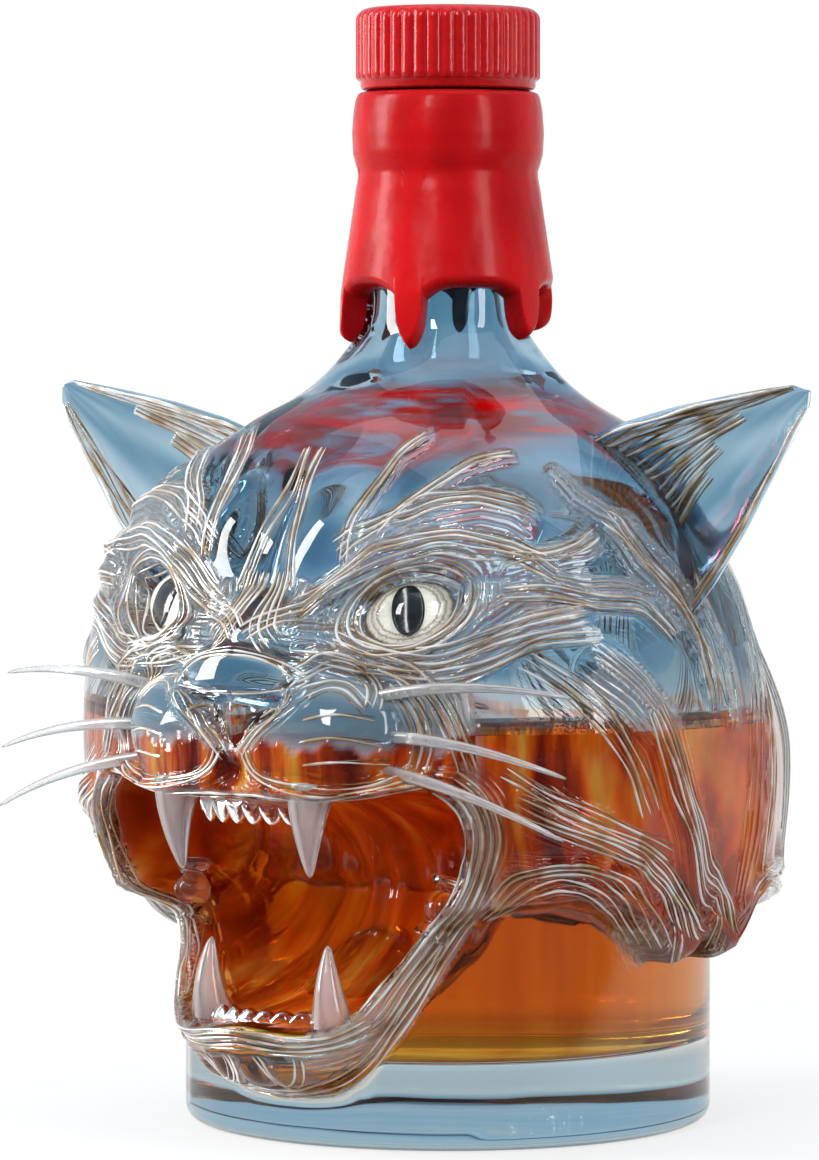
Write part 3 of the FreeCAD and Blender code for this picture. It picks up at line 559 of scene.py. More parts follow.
# %% Almond distance
EYE_TURN, EYE_HIGH, EYE_TILT = 28.0, 99.6, 18.0
EYE_LONG, EYE_RISE, EYE_DROP = 9.4, 4.8, 6.0


def almond(a, z):
    """Distance from the eye in almonds, and height across the eye in the same units (positive is up)."""
    c, s = np.cos(np.radians(EYE_TILT)), np.sin(np.radians(EYE_TILT))
    x, y = (a - EYE_TURN) * ARC, z - EYE_HIGH
    u, v = (x * c + y * s) / EYE_LONG, -x * s + y * c
    v = v / np.where(v > 0, EYE_RISE, EYE_DROP)
    return np.hypot(u, v), v


print("almond distance at the eye's inner corner:", round(float(almond(19.3, 96.8)[0]), 2))


# %% [markdown]
# ## What the carver adds
# The relief is a sum of bells, ridges and grooves on the bare head: cheeks, brow, forehead, bridge, nose,
# the two whisker pads, the lids and the strokes. All of it is a function of the angle from the middle
# plane and the height, so left and right are the same.


# %% Relief of the muzzle
def muzzle(a, z):
    """Bridge as a bell, nose as a V over a shelf, two pads as domes, nostrils and the lip's groove cut in."""
    x = a * ARC
    bridge = 5.0 * bell(x, 8.5 + 0.25 * np.clip(96 - z, 0, 12)) * ease(104, 93, z) * ease(72, 82, z)
    nose_z, nose_half = [72, 74, 77, 80, 83.5, 87, 89.5, 91.5], [1.0, 2.4, 5.4, 8.6, 11.8, 12.2, 10.5, 6.0]
    half = np.interp(z, nose_z, nose_half)
    inside_v = ease(-0.8, 0.8, half - x)
    nose = 2.9 * inside_v * ease(82.4, 84.2, z) * ease(92.5, 88.5, z)
    shelf = -2.6 * inside_v * ease(84.0, 82.4, z) * ease(72.5, 75.5, z)
    column = 2.0 * bell(x, 2.0) * ease(84, 82, z) * ease(71, 74, z)
    nostril = -2.6 * bell(x - 6.2, 2.2) * bell(z - 80.2, 1.9)
    middle = 13.8 + 0.30 * (z - 75)
    pad = np.clip(1 - ((a - middle) / 12.4) ** 2 - ((z - 75.6) / 11.0) ** 2, 0, 1) ** 0.5
    groove = -1.8 * bell(x, 1.3) * ease(62, 66, z) * ease(74, 71, z)
    upper = 2.4 * bell(x, 17) * ease(60, 66, z) * ease(84, 74, z)
    return bridge + nose + shelf + column + nostril + 4.6 * pad + groove + upper


# %% Relief of the brow, the eyes, the cheeks and the strokes
CHEEK_Z = [40, 50, 66, 80, 90, 98, 106, 113, 121, 130]
CHEEK_RISE = [2.5, 3.8, 4.2, 5.4, 6.4, 7.0, 7.0, 6.0, 3.2, 0.5]
FOLD_WIDE = 0.12


def carving(a, z):
    """Height of the whole relief in mm at angle a and height z."""
    e, v = almond(a, z)
    rise = np.interp(z, CHEEK_Z, CHEEK_RISE) * bell(a - 58, 20) + muzzle(a, z)
    rise = rise - (1.2 + 4.0 * ease(70, 100, z) * ease(130, 112, z)) * ease(95, 125, a)
    brow = 2.8 * bell(a - 12.5, 8.5) * bell(z - 113.5, 7.5)
    furrow = 1.3 * bell(a, 3.6) * ease(99, 105, z) * ease(127, 117, z)
    forehead = 2.4 * bell(a - 38, 15) * bell(z - 118, 9)
    rise = rise + brow - furrow + forehead
    for places, height, width, _ in STROKES:
        d, t = to_line(places, a, z)
        taper = np.clip(t * (1 - t) * 9.0, 0, 1) ** 0.7
        rise = rise + height * bell(d, width) * taper
    rise = rise * ease(0.95, 1.25, e)
    upper = ease(-0.35, 0.35, v)
    folds = (1.3 + 0.9 * upper) * bell(e - 1.15, FOLD_WIDE)
    folds = folds + 1.0 * bell(e - 1.48, FOLD_WIDE) + 0.7 * bell(e - 1.80, FOLD_WIDE)
    socket = 3.6 * (1 - ease(0.86, 1.06, e))
    return rise + folds - socket


relief = carving(np.array([0, 14.0]), np.array([85, 74.0]))
print("relief in mm at the nose tip and at a pad:", relief.round(1))

# %% [markdown]
# ## The jaw and the ruff
# Below the head's arc the front is a jaw that juts out from the drum, an ellipsoid about a point inside
# it. At the sides the fur ends in a ruff with pointed locks that overhang the drum. The ruff's edge is
# moved up and down round the bottle, and the rows near it follow.


# %% Jaw, skin round the mouth, and the ruff's edge
JAW_AHEAD, JAW_HIGH = 40.0, 22.0
JAW_WIDE, JAW_LONG, JAW_TALL = 25.0, 26.0, 15.0
RUFF_Z = 40.0


def jaw_radius(a, z):
    """Radius where a ray from the axis leaves the jaw, an ellipsoid ahead of the axis; 40 where it misses."""
    s, c = np.sin(np.radians(a)), np.cos(np.radians(a))
    low = (np.minimum(z, JAW_HIGH) - JAW_HIGH) / JAW_TALL
    square = (s / JAW_WIDE) ** 2 + (c / JAW_LONG) ** 2
    half_way = JAW_AHEAD * c / JAW_LONG**2
    rest = (JAW_AHEAD / JAW_LONG) ** 2 + low**2 - 1
    root = half_way**2 - square * rest
    far_side = (half_way + np.sqrt(np.maximum(root, 0))) / square
    return np.where((root > 0) & (a < 60), far_side, JAW_AHEAD)


def front_radius(a, z):
    """Radius of the front before the relief: drum below, head above, and the jaw's skin round the mouth."""
    bare = DRUM_RADIUS + (head_radius(np.maximum(z, 46)) - DRUM_RADIUS) * ease(40.5, 46.5, z)
    turn, d, reach = mouth_polar(a, z)
    out = d - reach
    jaw = jaw_radius(a, z) * (1 - ease(30, 58, z)) + 61.5 * ease(30, 58, z)
    low = ease(-35, -75, turn)
    near = 1 - ease(3.0 + 8 * low, 7.0 + 12 * low, out)
    skin_radius = bare - 6 + (np.maximum(jaw, bare - 6) - bare + 6) * near
    return soft_max(bare, np.where(z < 62, skin_radius, bare - 6), 2.5)


def lip_ridge(a, z):
    """A rounded rim along the mouth, a second fainter one outside it, and furrows down the chin."""
    turn, d, reach = mouth_polar(a, z)
    out = d - reach
    open_front = ease(44, 40, a)
    rim = (2.6 * bell(out - 1.7, 1.4) + 1.2 * bell(out - 5.0, 1.0) * ease(60, 40, turn)) * open_front
    chin = 0.6 * np.cos(a * ARC * 2 * np.pi / 6.5) * ease(9.5, 13, z) * ease(21, 17, z) * ease(20, 12, a)
    return rim + chin


EDGE = np.array([
    (0, 42), (38, 42.5), (45, 44.5), (57, 45.5), (66, 43.5), (74, 38.5), (80, 33.6), (86, 39.5), (92, 33.6),
    (99, 40), (106, 43.2), (117, 42.0), (127, 39.5), (136, 42.5), (143, 42.5), (151, 39.5), (158, 34.2),
    (165, 40), (172, 42), (180, 37.5)])
edge_height = np.interp(away, EDGE[:, 0], EDGE[:, 1])
print("the ruff's edge lies between", EDGE[:, 1].min(), "and", EDGE[:, 1].max(), "mm")

# %% [markdown]
# ## Putting the outside together
# In front the rows are read as heights and the radius comes from the jaw, the skin and the head. At the
# sides and behind the rows follow the outline with its step under the ruff. A soft weight joins the two,
# and inside the mouth's rim the points slide back into the cup: sideways they shrink towards the middle
# as a power of a sine, and backwards they go as a power of the cosine.

# %% Front heights of the rows
row_r, row_z = outside[:, :1], outside[:, 1:]
steady = row_z.copy()
first_drum, first_ruff, first_head = len(foot), len(foot) + len(drum), len(foot) + len(drum) + len(ruff)
steady[first_drum:first_ruff, 0] = np.linspace(3.7, 36.4, len(drum))
steady[first_ruff:first_head, 0] = np.linspace(37.1, 46.1, len(ruff))
row_number = np.arange(len(outside))[:, None]
carved = (row_number >= first_drum) & (row_number < first_head + len(head) + len(flare))
print("rows that carry relief:", int(carved.sum()))


# %% A point on the front of the bottle
def push(z):
    """Direction of the relief: straight out below the cheek, tilted up with the head's arc above it."""
    up = np.clip((z - HEAD_MID) / HEAD_ARC, 0, 0.72)
    return np.sqrt(1 - up**2), up


def front_point(a, z):
    """Radius and height of the finished front at angle a and height z."""
    amount = (carving(a, z) * ease(44, 62, z) + lip_ridge(a, z)) * ease(4, 8, z)
    out, up = push(z)
    return front_radius(a, z) + amount * out, z + amount * up


# %% The outside of the glass
front_r, front_z = front_point(away, steady)
amount = carving(away, row_z) * ease(36, 60, row_z) * carved
lock = np.cos(away * 2 * np.pi / 6.0) * bell(row_z - edge_height - 5, 6) * ease(45, 60, away)
out, up = push(row_z)
hang = (edge_height - RUFF_Z) * np.where(row_z > RUFF_Z, ease(62, 42, row_z), ease(24, 38, row_z))
rolled = (1.6 * bell(row_z - 43.2, 1.5) + 0.9 * bell(row_z - 47.2, 1.2)) * ease(46, 52, away)
side_r = row_r + amount * out + lock * ease(46, 50, row_z) + rolled
side_z = row_z + amount * up + hang
weight = ease(45.0, 39.0, away) * carved * ease(140, 128, row_z)
shell_r = side_r + (front_r - side_r) * weight
shell_z = side_z + (front_z - side_z) * weight
shell_out = spread(shell_r, shell_z, turns)
print("outside box:", shell_out.min((0, 1)).round(1), shell_out.max((0, 1)).round(1))


# %% The cup of the mouth
def held(amount, room):
    """An amount that starts as it is and never passes the room: room (1 - e^(-amount / room))."""
    return room * (1 - np.exp(-amount / room))


MOUTH_FRONT, MOUTH_BACK = np.array([0, -62.0, 44.0]), np.array([0, -20.0, 46.0])


def cup(points, a, z, margin, rim_point, near, far):
    """Points inside the rim go to near + (far - near) cos^0.9 + (rim - near) sin^0.6.

    The angle is a quarter turn times share^1.35, where share is 0 in the middle and 1 on the rim.
    """
    turn, d, reach = mouth_polar(a, z)
    reach = reach + margin * (1 - 0.5 * ease(-20, -70, turn))
    share = d / reach
    t = np.radians(turn)
    rim_a, rim_z = reach * np.cos(t) / ARC, MOUTH_MID + reach * np.sin(t)
    r, h = rim_point(rim_a, rim_z)
    rim = spread(r, h, rim_a * np.sign(a))
    quarter = np.pi / 2 * np.clip(share, 0, 1) ** 1.35
    wide, deep = np.sin(quarter) ** 0.6, np.cos(quarter) ** 0.9
    back = near + (far - near) * deep[..., None] + wide[..., None] * (rim - near)
    return np.where((share < 1)[..., None], back, points), share


AHEAD, BEHIND = 66.0, 62.0
signed = np.broadcast_to(turns[None, :], shell_r.shape)
flat_z = np.broadcast_to(steady, shell_r.shape)
moved, share_out = cup(shell_out, signed, flat_z, 0.0, front_point, MOUTH_FRONT, MOUTH_BACK)
moved[..., 1] += 1.2 * np.cos(moved[..., 0] * 2 * np.pi / 7.6) * ease(0.9, 0.5, share_out)
in_face = carved & (away < 44)
shell_out = np.where(in_face[..., None], moved, shell_out)
depth = shell_out[..., 1]
ahead, behind = np.maximum(-depth - AHEAD, 0), np.maximum(depth - BEHIND, 0)
shell_out[..., 1] = depth + (ahead - held(ahead, 4.2)) - (behind - held(behind, 2.4))
print("points in the mouth:", int(((share_out < 1) & in_face).sum()))

# %% [markdown]
# ## The hollow inside
# Inside, the glass is smooth: the hollow follows the head at the wall's thickness and steps back behind
# the mouth's cup with the same formula and a wider rim, so a wall of glass is left all round the mouth.


# %% The inside of the glass
def hollow_point(a, z):
    """Radius and height of the smooth inside wall where the mouth's cup leaves it."""
    bare = DRUM_RADIUS - WALL
    in_drum = bare + (head_radius(50, WALL) - bare) * ease(43, 50, z)
    r = np.where(z > 50, head_radius(np.maximum(z, 50), WALL), in_drum)
    return r + 0 * a, z + 0 * a


NEAR_IN, FAR_IN = np.array([0, -54.0, 44.0]), np.array([0, -15.5, 46.0])


def hollow(profile):
    """The inside wall for a list of (radius, height) rows, with the mouth's cup pushed in."""
    r = np.broadcast_to(profile[:, :1], (len(profile), len(turns)))
    z = np.broadcast_to(profile[:, 1:], r.shape)
    hang_in = (edge_height - RUFF_Z) * bell(z - 46, 6) * ease(46, 60, away) * 0.7
    points = spread(r, z + hang_in, turns)
    flat = z.copy()
    low = (profile[:, 1] < 51.6) & (profile[:, 1] > 42.5)
    flat[low] = np.linspace(profile[low, 1][0], profile[low, 1][-1], int(low.sum()))[:, None]
    signed = np.broadcast_to(turns[None, :], r.shape)
    moved, share = cup(points, signed, flat, 5.0, hollow_point, NEAR_IN, FAR_IN)
    in_cup = ((away < 60) & (profile[:, 1:] > 16.5) & (share < 1))[..., None]
    points = np.where(in_cup, moved, points)
    for _ in range(24):
        mean = 0.25 * sum(np.roll(points, way, axis) for axis in (0, 1) for way in (1, -1))
        points = np.where(in_cup, 0.5 * (points + mean), points)
    return points


shell_in = hollow(inside)
print("inside box:", shell_in.min((0, 1)).round(1), shell_in.max((0, 1)).round(1))

# %% Combing counts for the glass
e, v = almond(away, steady)
turn, d, reach = mouth_polar(away, steady)
gap = d - reach
wander = 0.35 * np.sin(away * 0.55 + steady * 0.21) + 0.25 * np.sin(away * 0.23 - steady * 0.47)
phase = np.stack([(e - 1) * 7.2 / PITCH + 0.4 * wander, gap / PITCH + 0.5 * wander, np.zeros_like(e)], -1)
ring_eye = ease(1.03, 1.12, e) * ease(1.95, 1.55, e) * (1 - 0.4 * ease(0.3, 1.0, v))
ring_mouth = ease(0.4, 1.4, gap) * ease(11, 6, gap) * ease(60, 46, away)
ring_mouth = ring_mouth * ease(42, 30, turn) * ease(-85, -50, turn)
best = np.zeros_like(e)
count = np.zeros_like(e)
for places, _, _, width in STROKES:
    d, t = to_line(places, away, row_z)
    strength = ease(width * 1.15, width * 0.55, d) * np.clip(t * (1 - t) * 8.0, 0, 1)
    count = np.where(strength > best, d / PITCH, count)
    best = np.maximum(best, strength)
hem = ease(40.8, 42, row_z) * ease(50, 47, row_z) * ease(46, 52, away)
count = np.where(hem > best, (row_z - RUFF_Z) / PITCH, count)
best = np.maximum(best, hem)
phase[..., 2] = count + 0.3 * wander
mask = np.stack([ring_eye, ring_mouth, best * (1 - 0.8 * ring_eye) * (1 - 0.8 * ring_mouth)], -1)
mask = mask * (carved & (share_out > 1.0) & (row_z < 136))[..., None]
print("share of the outside that is combed:", round(float((mask.max(-1) > COMBED).mean()), 2))

# %% Painted blue reflection in smooth places, painted shade in the corners, and the amber of the liquor painted as its glow in the mouth and on the wetted cheeks and pads
# Places of painted blue reflection, each as angle, height and two widths
BLUE = [
    (0, 86.6, 8, 2.2), (9, 113, 5, 8), (31, 121, 9, 4), (46, 118, 8, 6), (36, 88.4, 12, 2.2),
    (14, 79.5, 12, 5.5), (29, 78, 6, 4), (52, 90, 7, 4), (60, 104, 8, 5), (64, 91, 8, 5), (75, 88, 8, 8),
    (96, 95, 14, 12), (135, 90, 20, 16), (170, 95, 12, 14)]
# Places of painted shade in corners and creases: the eyes' corners, above and below the eye, and under the
# nose
BROWN = [(15, 98.2, 4, 2.4), (48, 99, 6, 2.4), (20, 102, 5, 1.5), (25, 91.6, 4, 1.5), (1, 77.5, 4, 2.5)]
PAD_TURN = [0, 1.8, 5, 9.4, 11.5, 13, 16.4, 20.4, 24, 29, 33, 35.6, 38]
PAD_TOP = [74, 74.6, 78, 82.5, 87, 88, 89.3, 88, 88.2, 86, 81, 75, 66]


def painted(places):
    """Sum of oval bells in angle and height, never more than one."""
    total = sum(bell(away - a, wide) * bell(steady - z, tall) for a, z, wide, tall in places)
    return np.clip(1.4 * total, 0, 1)


on_skin = ease(0.98, 1.02, share_out)
first_wet = 39 + 3 * ease(68, 64, steady) + 12 * ease(60, 54, steady) * (turns < 0)
wet_cheek = ease(first_wet - 2, first_wet + 2, away) * ease(118, 100, away) * on_skin * carved
wet_cheek = wet_cheek * ease(41.5, 44, steady) * ease(80.2, 78.6, shell_out[..., 2])
pad_top = np.interp(away, PAD_TURN, PAD_TOP)
on_pad = (steady < pad_top) & (steady > 66) & (share_out > 1) & carved
tide = steady + 0.8 * np.sin(0.6 * away + 0.4) + 0.5 * np.sin(1.7 * away + 1.0)
wet_pad = ease(75.6, 73.8, tide) * ease(65.6, 66.6, steady) * ease(39, 37.5, away) * on_skin
in_mouth = ease(1.02, 0.96, share_out) * in_face
# The liquor's amber, painted on the outside as the glow of the backlit liquor: in the mouth, on the lower
# pads and on the wetted cheeks
amber = np.maximum(np.maximum(in_mouth, wet_pad), wet_cheek)
paint = np.stack([0.85 * painted(BLUE), 0.8 * painted(BROWN), amber], -1) * carved[..., None]
print("share of the outside painted blue:", round(float((paint[..., 0] > 0.4).mean()), 2))

# %% [markdown]
# ## Finishes of one piece of glass
# The vessel is one piece of glass, but light doesn't treat it as one. Wetted glass bends light less. The
# mouth, the pads and the cheeks let less light through and carry the liquor's own amber, painted on them
# as the glow of the backlit liquor: red in the mouth, dark and bright streaks on the pads and cheeks. The
# combed face is a little milky. Each finish is a copy of the same glass with a few inputs set anew, and each
# face of the mesh has one of them.

# %% Tint of the wetted wall
LEVEL, LIQUOR_INDEX = 77.0, 1.36
WALL_TINTS = [
    (0.15, (1.0, 0.92, 0.66)), (0.45, (0.95, 0.74, 0.45)),
    (0.75, (0.74, 0.42, 0.24)), (1.0, (0.46, 0.20, 0.12))]


def liquor_wall_group():
    """Gold near the floor, red brown under the surface and behind the mouth, in streaks."""
    group, out = new_group("liquor_wall", [("Tint", "NodeSocketColor")])
    place = object_place(group)
    height = math_node(group, "MULTIPLY", split_node(group, place)["Z"], 11.0)
    streak = wobble(group, noise_node(group, place, 120.0, 2.0, (1.0, 1.0, 0.12)), 0.5, 1.7)
    behind = math_node(group, "MULTIPLY", read_node(group, "mouth_wall", "Fac"), 0.30)
    broad = wobble(group, noise_node(group, place, 34.0, 1.0, (1.0, 1.0, 0.5)), 0.55, 1.6)
    level = math_node(group, "ADD", height, streak, behind, broad)
    group.links.new(ramp_node(group, level, WALL_TINTS), out.inputs["Tint"])
    return group


wet_glass = glass_like(glass, "clear_glass_against_liquor", {"IOR": GLASS_INDEX / LIQUOR_INDEX})
tree = wet_glass.node_tree
wall_tint = use_group(tree, liquor_wall_group())["Tint"]
feed(tree, wall_tint, tree.nodes["Principled BSDF"].inputs["Base Color"])
print("wetted wall:", wet_glass.name)

# %% The glass vessel and its six finishes
DRY, WET, MOUTH, MUZZLE, CHEEKS, FACE = range(6)
# Lower transmission, and the mouth's red veil, let the lamps light the painted glow of the liquor
streaky = {"Transmission Weight": 0.6, "Roughness": 0.03}
vessel_grid = np.concatenate([shell_out, shell_in])
vessel = skin("cat_glass", vessel_grid, ["glass_vessel"], glass)
for finish_glass in (
        wet_glass,
        glass_like(glass, "mouth_glass_with_painted_liquor_glow", {"Transmission Weight": 0.35, "Roughness": 0.03},
                   (0.45, (0.92, 0.11, 0.005))),
        glass_like(glass, "muzzle_glass_with_painted_reflection_and_liquor_glow", streaky),
        glass_like(glass, "cheek_glass_with_painted_liquor_glow", streaky),
        glass_like(glass, "pale_combed_glass_of_the_face", {"Transmission Weight": 0.85},
                   (0.5, (0.98, 0.93, 0.86)))):
    vessel.data.materials.append(finish_glass)
wet_from = (len(shell_out) + int((inside[:, 1] > LEVEL + 0.01).sum())) * len(turns)
cells = (len(vessel_grid) - 1) * len(turns)
finish = np.full(len(vessel.data.polygons), DRY, np.int32)
finish[wet_from:cells] = WET
finish[-len(turns):] = WET
for choice, where in (
        (MOUTH, (in_mouth > 0.5) & (share_out < 1)),
        (FACE, mask.max(-1) > COMBED),
        (MUZZLE, on_pad),
        (CHEEKS, (wet_cheek > 0.5) & (shell_out[..., 2] < LEVEL))):
    finish[: where[:-1].size][where[:-1].ravel()] = choice
vessel.data.polygons.foreach_set("material_index", finish)

# %% What the vessel carries for its materials
blank = np.zeros(shell_in.shape)
film = ease(80.6, 77.6, shell_in[..., 2]) * ease(76, 77, shell_in[..., 2])
behind_mouth = bell(shell_in[..., 0], 30) * ease(10, -10, shell_in[..., 1]) * ease(18, 28, shell_in[..., 2])
carry(vessel, "comb_phase", np.concatenate([phase, blank]))
carry(vessel, "comb_mask", np.concatenate([mask, blank]))
carry(vessel, "paint", np.concatenate([paint, film[..., None] * (0, 0, 0.85)]))
carry(vessel, "mouth_wall", np.concatenate([np.zeros(shell_out.shape), blank + behind_mouth[..., None]]))
print("faces of each finish:", np.bincount(finish).tolist())

# %% [markdown]
# ## The liquor
# The drink fills the hollow to a level under the eyes. Where glass meets liquor, light bends only by the
# ratio of the two, so the wetted wall of the glass got that ratio, and the liquor's own side bends
# nothing. Only its top meets air. Its colour is absorption: thin parts are gold, thick parts a deep red
# brown.

# %% Liquor material
liquor, tree, shader = new_material("amber_liquor")
feed_all(tree, shader, {
    "Base Color": (1.0, 0.97, 0.93), "Transmission Weight": 1.0, "IOR": LIQUOR_INDEX, "Roughness": 0.0})
absorb = tree.nodes.new("ShaderNodeVolumeAbsorption")
feed_all(tree, absorb, {"Color": (0.92, 0.75, 0.02), "Density": 100.0})
tree.links.new(absorb.outputs["Volume"], tree.nodes["Material Output"].inputs["Volume"])
liquor_side = glass_like(liquor, "amber_liquor_at_glass", {"IOR": 1.001})
print("liquor level:", LEVEL, "mm")

# %% Liquor surface
wet = inside[inside[:, 1] < LEVEL + 0.01][::-1]
fill = hollow(wet)
across = np.roll(fill, -1, 1) - np.roll(fill, 1, 1)
normal = np.cross(across, np.gradient(fill, axis=0))
normal /= np.linalg.norm(normal, axis=-1, keepdims=True) + 1e-9
fill = fill + 0.05 * normal
brim = head_radius(LEVEL, WALL) - 0.3
top = spread(np.array([[brim], [brim - 1], [40], [20], [5]]), LEVEL, turns)
liquid = skin("liquor", np.concatenate([fill, top]), ["liquor_fill"], liquor_side)
liquid.data.materials.append(liquor)
finish = np.zeros(len(liquid.data.polygons), np.int32)
finish[(len(fill) - 1) * len(turns):(len(fill) + len(top) - 1) * len(turns)] = 1
finish[-len(turns):] = 1
liquid.data.polygons.foreach_set("material_index", finish)

# %% [markdown]
# ## The eyes
# An eye is a polished cap of clear glass over a pale iris with a slit pupil. The iris sits a little way
# inside the cap, so the cap's curve magnifies it. The iris is a shallow cone with its own coordinates,
# distance and angle, so its streaks run from the pupil to the edge.

# %% Eye axes
EYE_COLUMNS = 96
CAP_HALF, IRIS_HALF, SLIT_HALF = (9.0, 6.6), (8.2, 5.9), (2.8, 4.4)


def eye_axes(sign):
    """Point on the bare head at the eye, and its outward, sideways and upward directions."""
    turn = EYE_TURN * sign
    lift = np.arcsin((EYE_HIGH - HEAD_MID) / HEAD_ARC)
    outward = spread(np.cos(lift), np.sin(lift), turn)
    level = np.array([np.cos(np.radians(turn)), np.sin(np.radians(turn)), 0.0])
    upward = np.cross(outward, level)
    upward = upward if upward[2] > 0 else -upward
    return spread(head_radius(EYE_HIGH), EYE_HIGH, turn), outward, level, upward


def way_round(outward, level, upward):
    """-1 where columns from level to upward would turn the faces inwards, or else 1."""
    return -1 if np.dot(np.cross(level, upward), outward) > 0 else 1


def disc(base, outward, level, upward, share, sag, wide, tall):
    """Rings from the middle out: each has a share of the half sizes wide and tall, and its own depth, sag."""
    turn = np.linspace(0, 2 * np.pi, EYE_COLUMNS, endpoint=False)[None, :, None]
    around = wide * np.cos(turn) * level + tall * np.sin(turn) * upward
    grid = base + sag[:, None, None] * outward + share[:, None, None] * around
    return grid[:, :: way_round(outward, level, upward)]


print("eye centre:", eye_axes(1)[0].round(1))

# %% Iris material
IRIS_TONES = [
    (0.0, (0.55, 0.57, 0.52)), (0.26, (0.78, 0.78, 0.70)), (0.42, (0.96, 0.92, 0.80)),
    (0.60, (0.98, 0.95, 0.85)), (0.66, (0.40, 0.31, 0.20)), (0.71, (1.0, 0.98, 0.90)),
    (0.80, (0.42, 0.33, 0.22)), (0.86, (0.98, 0.94, 0.84)), (0.96, (0.30, 0.20, 0.11))]
iris, tree, shader = new_material("pale_iris")
group, out = new_group("iris_streaks", [("Color", "NodeSocketColor"), ("Height", "NodeSocketFloat")])
place = read_node(group, "iris_place")
streak = noise_node(group, place, 3.0, 3.0, (0.6, 5.0, 5.0))
from_middle = math_node(group, "ADD", split_node(group, place)[0], wobble(group, streak, 0.5, 0.14))
group.links.new(ramp_node(group, from_middle, IRIS_TONES), out.inputs["Color"])
group.links.new(streak, out.inputs["Height"])
streaks = use_group(tree, group)
feed_all(tree, shader, {
    "Base Color": streaks["Color"], "Normal": bump_node(tree, streaks["Height"], 0.0004), "Roughness": 0.35})
print("iris:", iris.name)

# %% Eye glass, which throws no shadow on the iris, and the pupil
eye_glass = glass_like(clear, "clear_eye_glass", {})
tree = eye_glass.node_tree
choice = tree.nodes.new("ShaderNodeMixShader")
through = tree.nodes.new("ShaderNodeBsdfTransparent")
tree.links.new(tree.nodes.new("ShaderNodeLightPath").outputs["Is Shadow Ray"], choice.inputs[0])
tree.links.new(tree.nodes["Principled BSDF"].outputs[0], choice.inputs[1])
tree.links.new(through.outputs[0], choice.inputs[2])
tree.links.new(choice.outputs[0], tree.nodes["Material Output"].inputs["Surface"])

pupil, tree, shader = new_material("black_pupil")
speck = noise_node(tree, object_place(tree), 900.0)
blacks = ramp_node(tree, speck, [(0.35, (0.004, 0.004, 0.005)), (0.7, (0.016, 0.015, 0.015))])
feed_all(tree, shader, {"Base Color": blacks, "Roughness": 0.12})
print("eye materials:", eye_glass.name, pupil.name)

# %% Caps, irises and pupils
for sign, hand in HANDS:
    base, outward, level, upward = eye_axes(sign)
    tilt = np.radians(EYE_TILT)
    along = level * np.cos(tilt) * sign + upward * np.sin(tilt)
    across = upward * np.cos(tilt) - level * np.sin(tilt) * sign
    share = np.linspace(0.03, 0.98, 30)
    step = 0.22 * (np.cos(share * 60) * ease(0.66, 0.76, share))
    sag = np.concatenate([1.6 - 4.6 * share**2.6 + step, [-3.2, -4.2, -4.3, -4.3]])
    share = np.concatenate([share, [1.0, 1.0, 0.7, 0.1]])
    cap = disc(base, outward, along, across, share, sag, *CAP_HALF)
    skin(f"{hand}_eye_cap", cap, [f"{hand}_eye"], eye_glass)
    share = np.linspace(0.04, 1.0, 12)
    sag = np.concatenate([-0.9 - 1.9 * share**2, [-3.2, -3.6, -3.7]])
    rings = np.concatenate([share, [1.0, 0.6, 0.1]])
    cone = disc(base, outward, along, across, rings, sag, *IRIS_HALF)
    turn = np.linspace(0, 2 * np.pi, EYE_COLUMNS, endpoint=False)[:: way_round(outward, along, across)]
    place = np.zeros(cone.shape)
    place[..., 0] = np.concatenate([share, [1.0, 1.0, 1.0]])[:, None]
    place[..., 1], place[..., 2] = np.cos(turn), np.sin(turn)
    carry(skin(f"{hand}_iris", cone, [], iris), "iris_place", place)
    share = np.linspace(0.08, 1.0, 8)
    sag = np.concatenate([-0.35 - 0.6 * share**2, [-1.6, -2.2, -2.2]])
    rings = np.concatenate([share, [0.98, 0.5, 0.1]])
    slit = disc(base, outward, level, upward, rings, sag, *SLIT_HALF)
    skin(f"{hand}_slit", slit, [f"{hand}_pupil"], pupil)

# %% [markdown]
# ## The ears
# An ear is a cupped leaf with a rolled rim. Its middle surface is a bowl, deep in the middle and level at
# the rim, and the leaf's thickness goes to the front and the back of it. The root is slid along the ear
# until it lies just under the head's surface, so no end shows inside the clear glass.

# %% Ear surface: the root's place, the ear's length, its lean from upright and where it heads
EAR_TURN, EAR_HIGH, EAR_ROOT = 80.0, 107.5, 41.0
EAR_LONG, EAR_LEAN, EAR_HEAD = 55.0, 55.5, 87.0
EAR_MARKS = [-0.25, 0.0, 0.15, 0.35, 0.55, 0.75, 0.9, 0.97, 1.0]
EAR_HALF = [21.5, 21.5, 20.5, 17.6, 13.5, 8.6, 4.6, 2.6, 0.4]


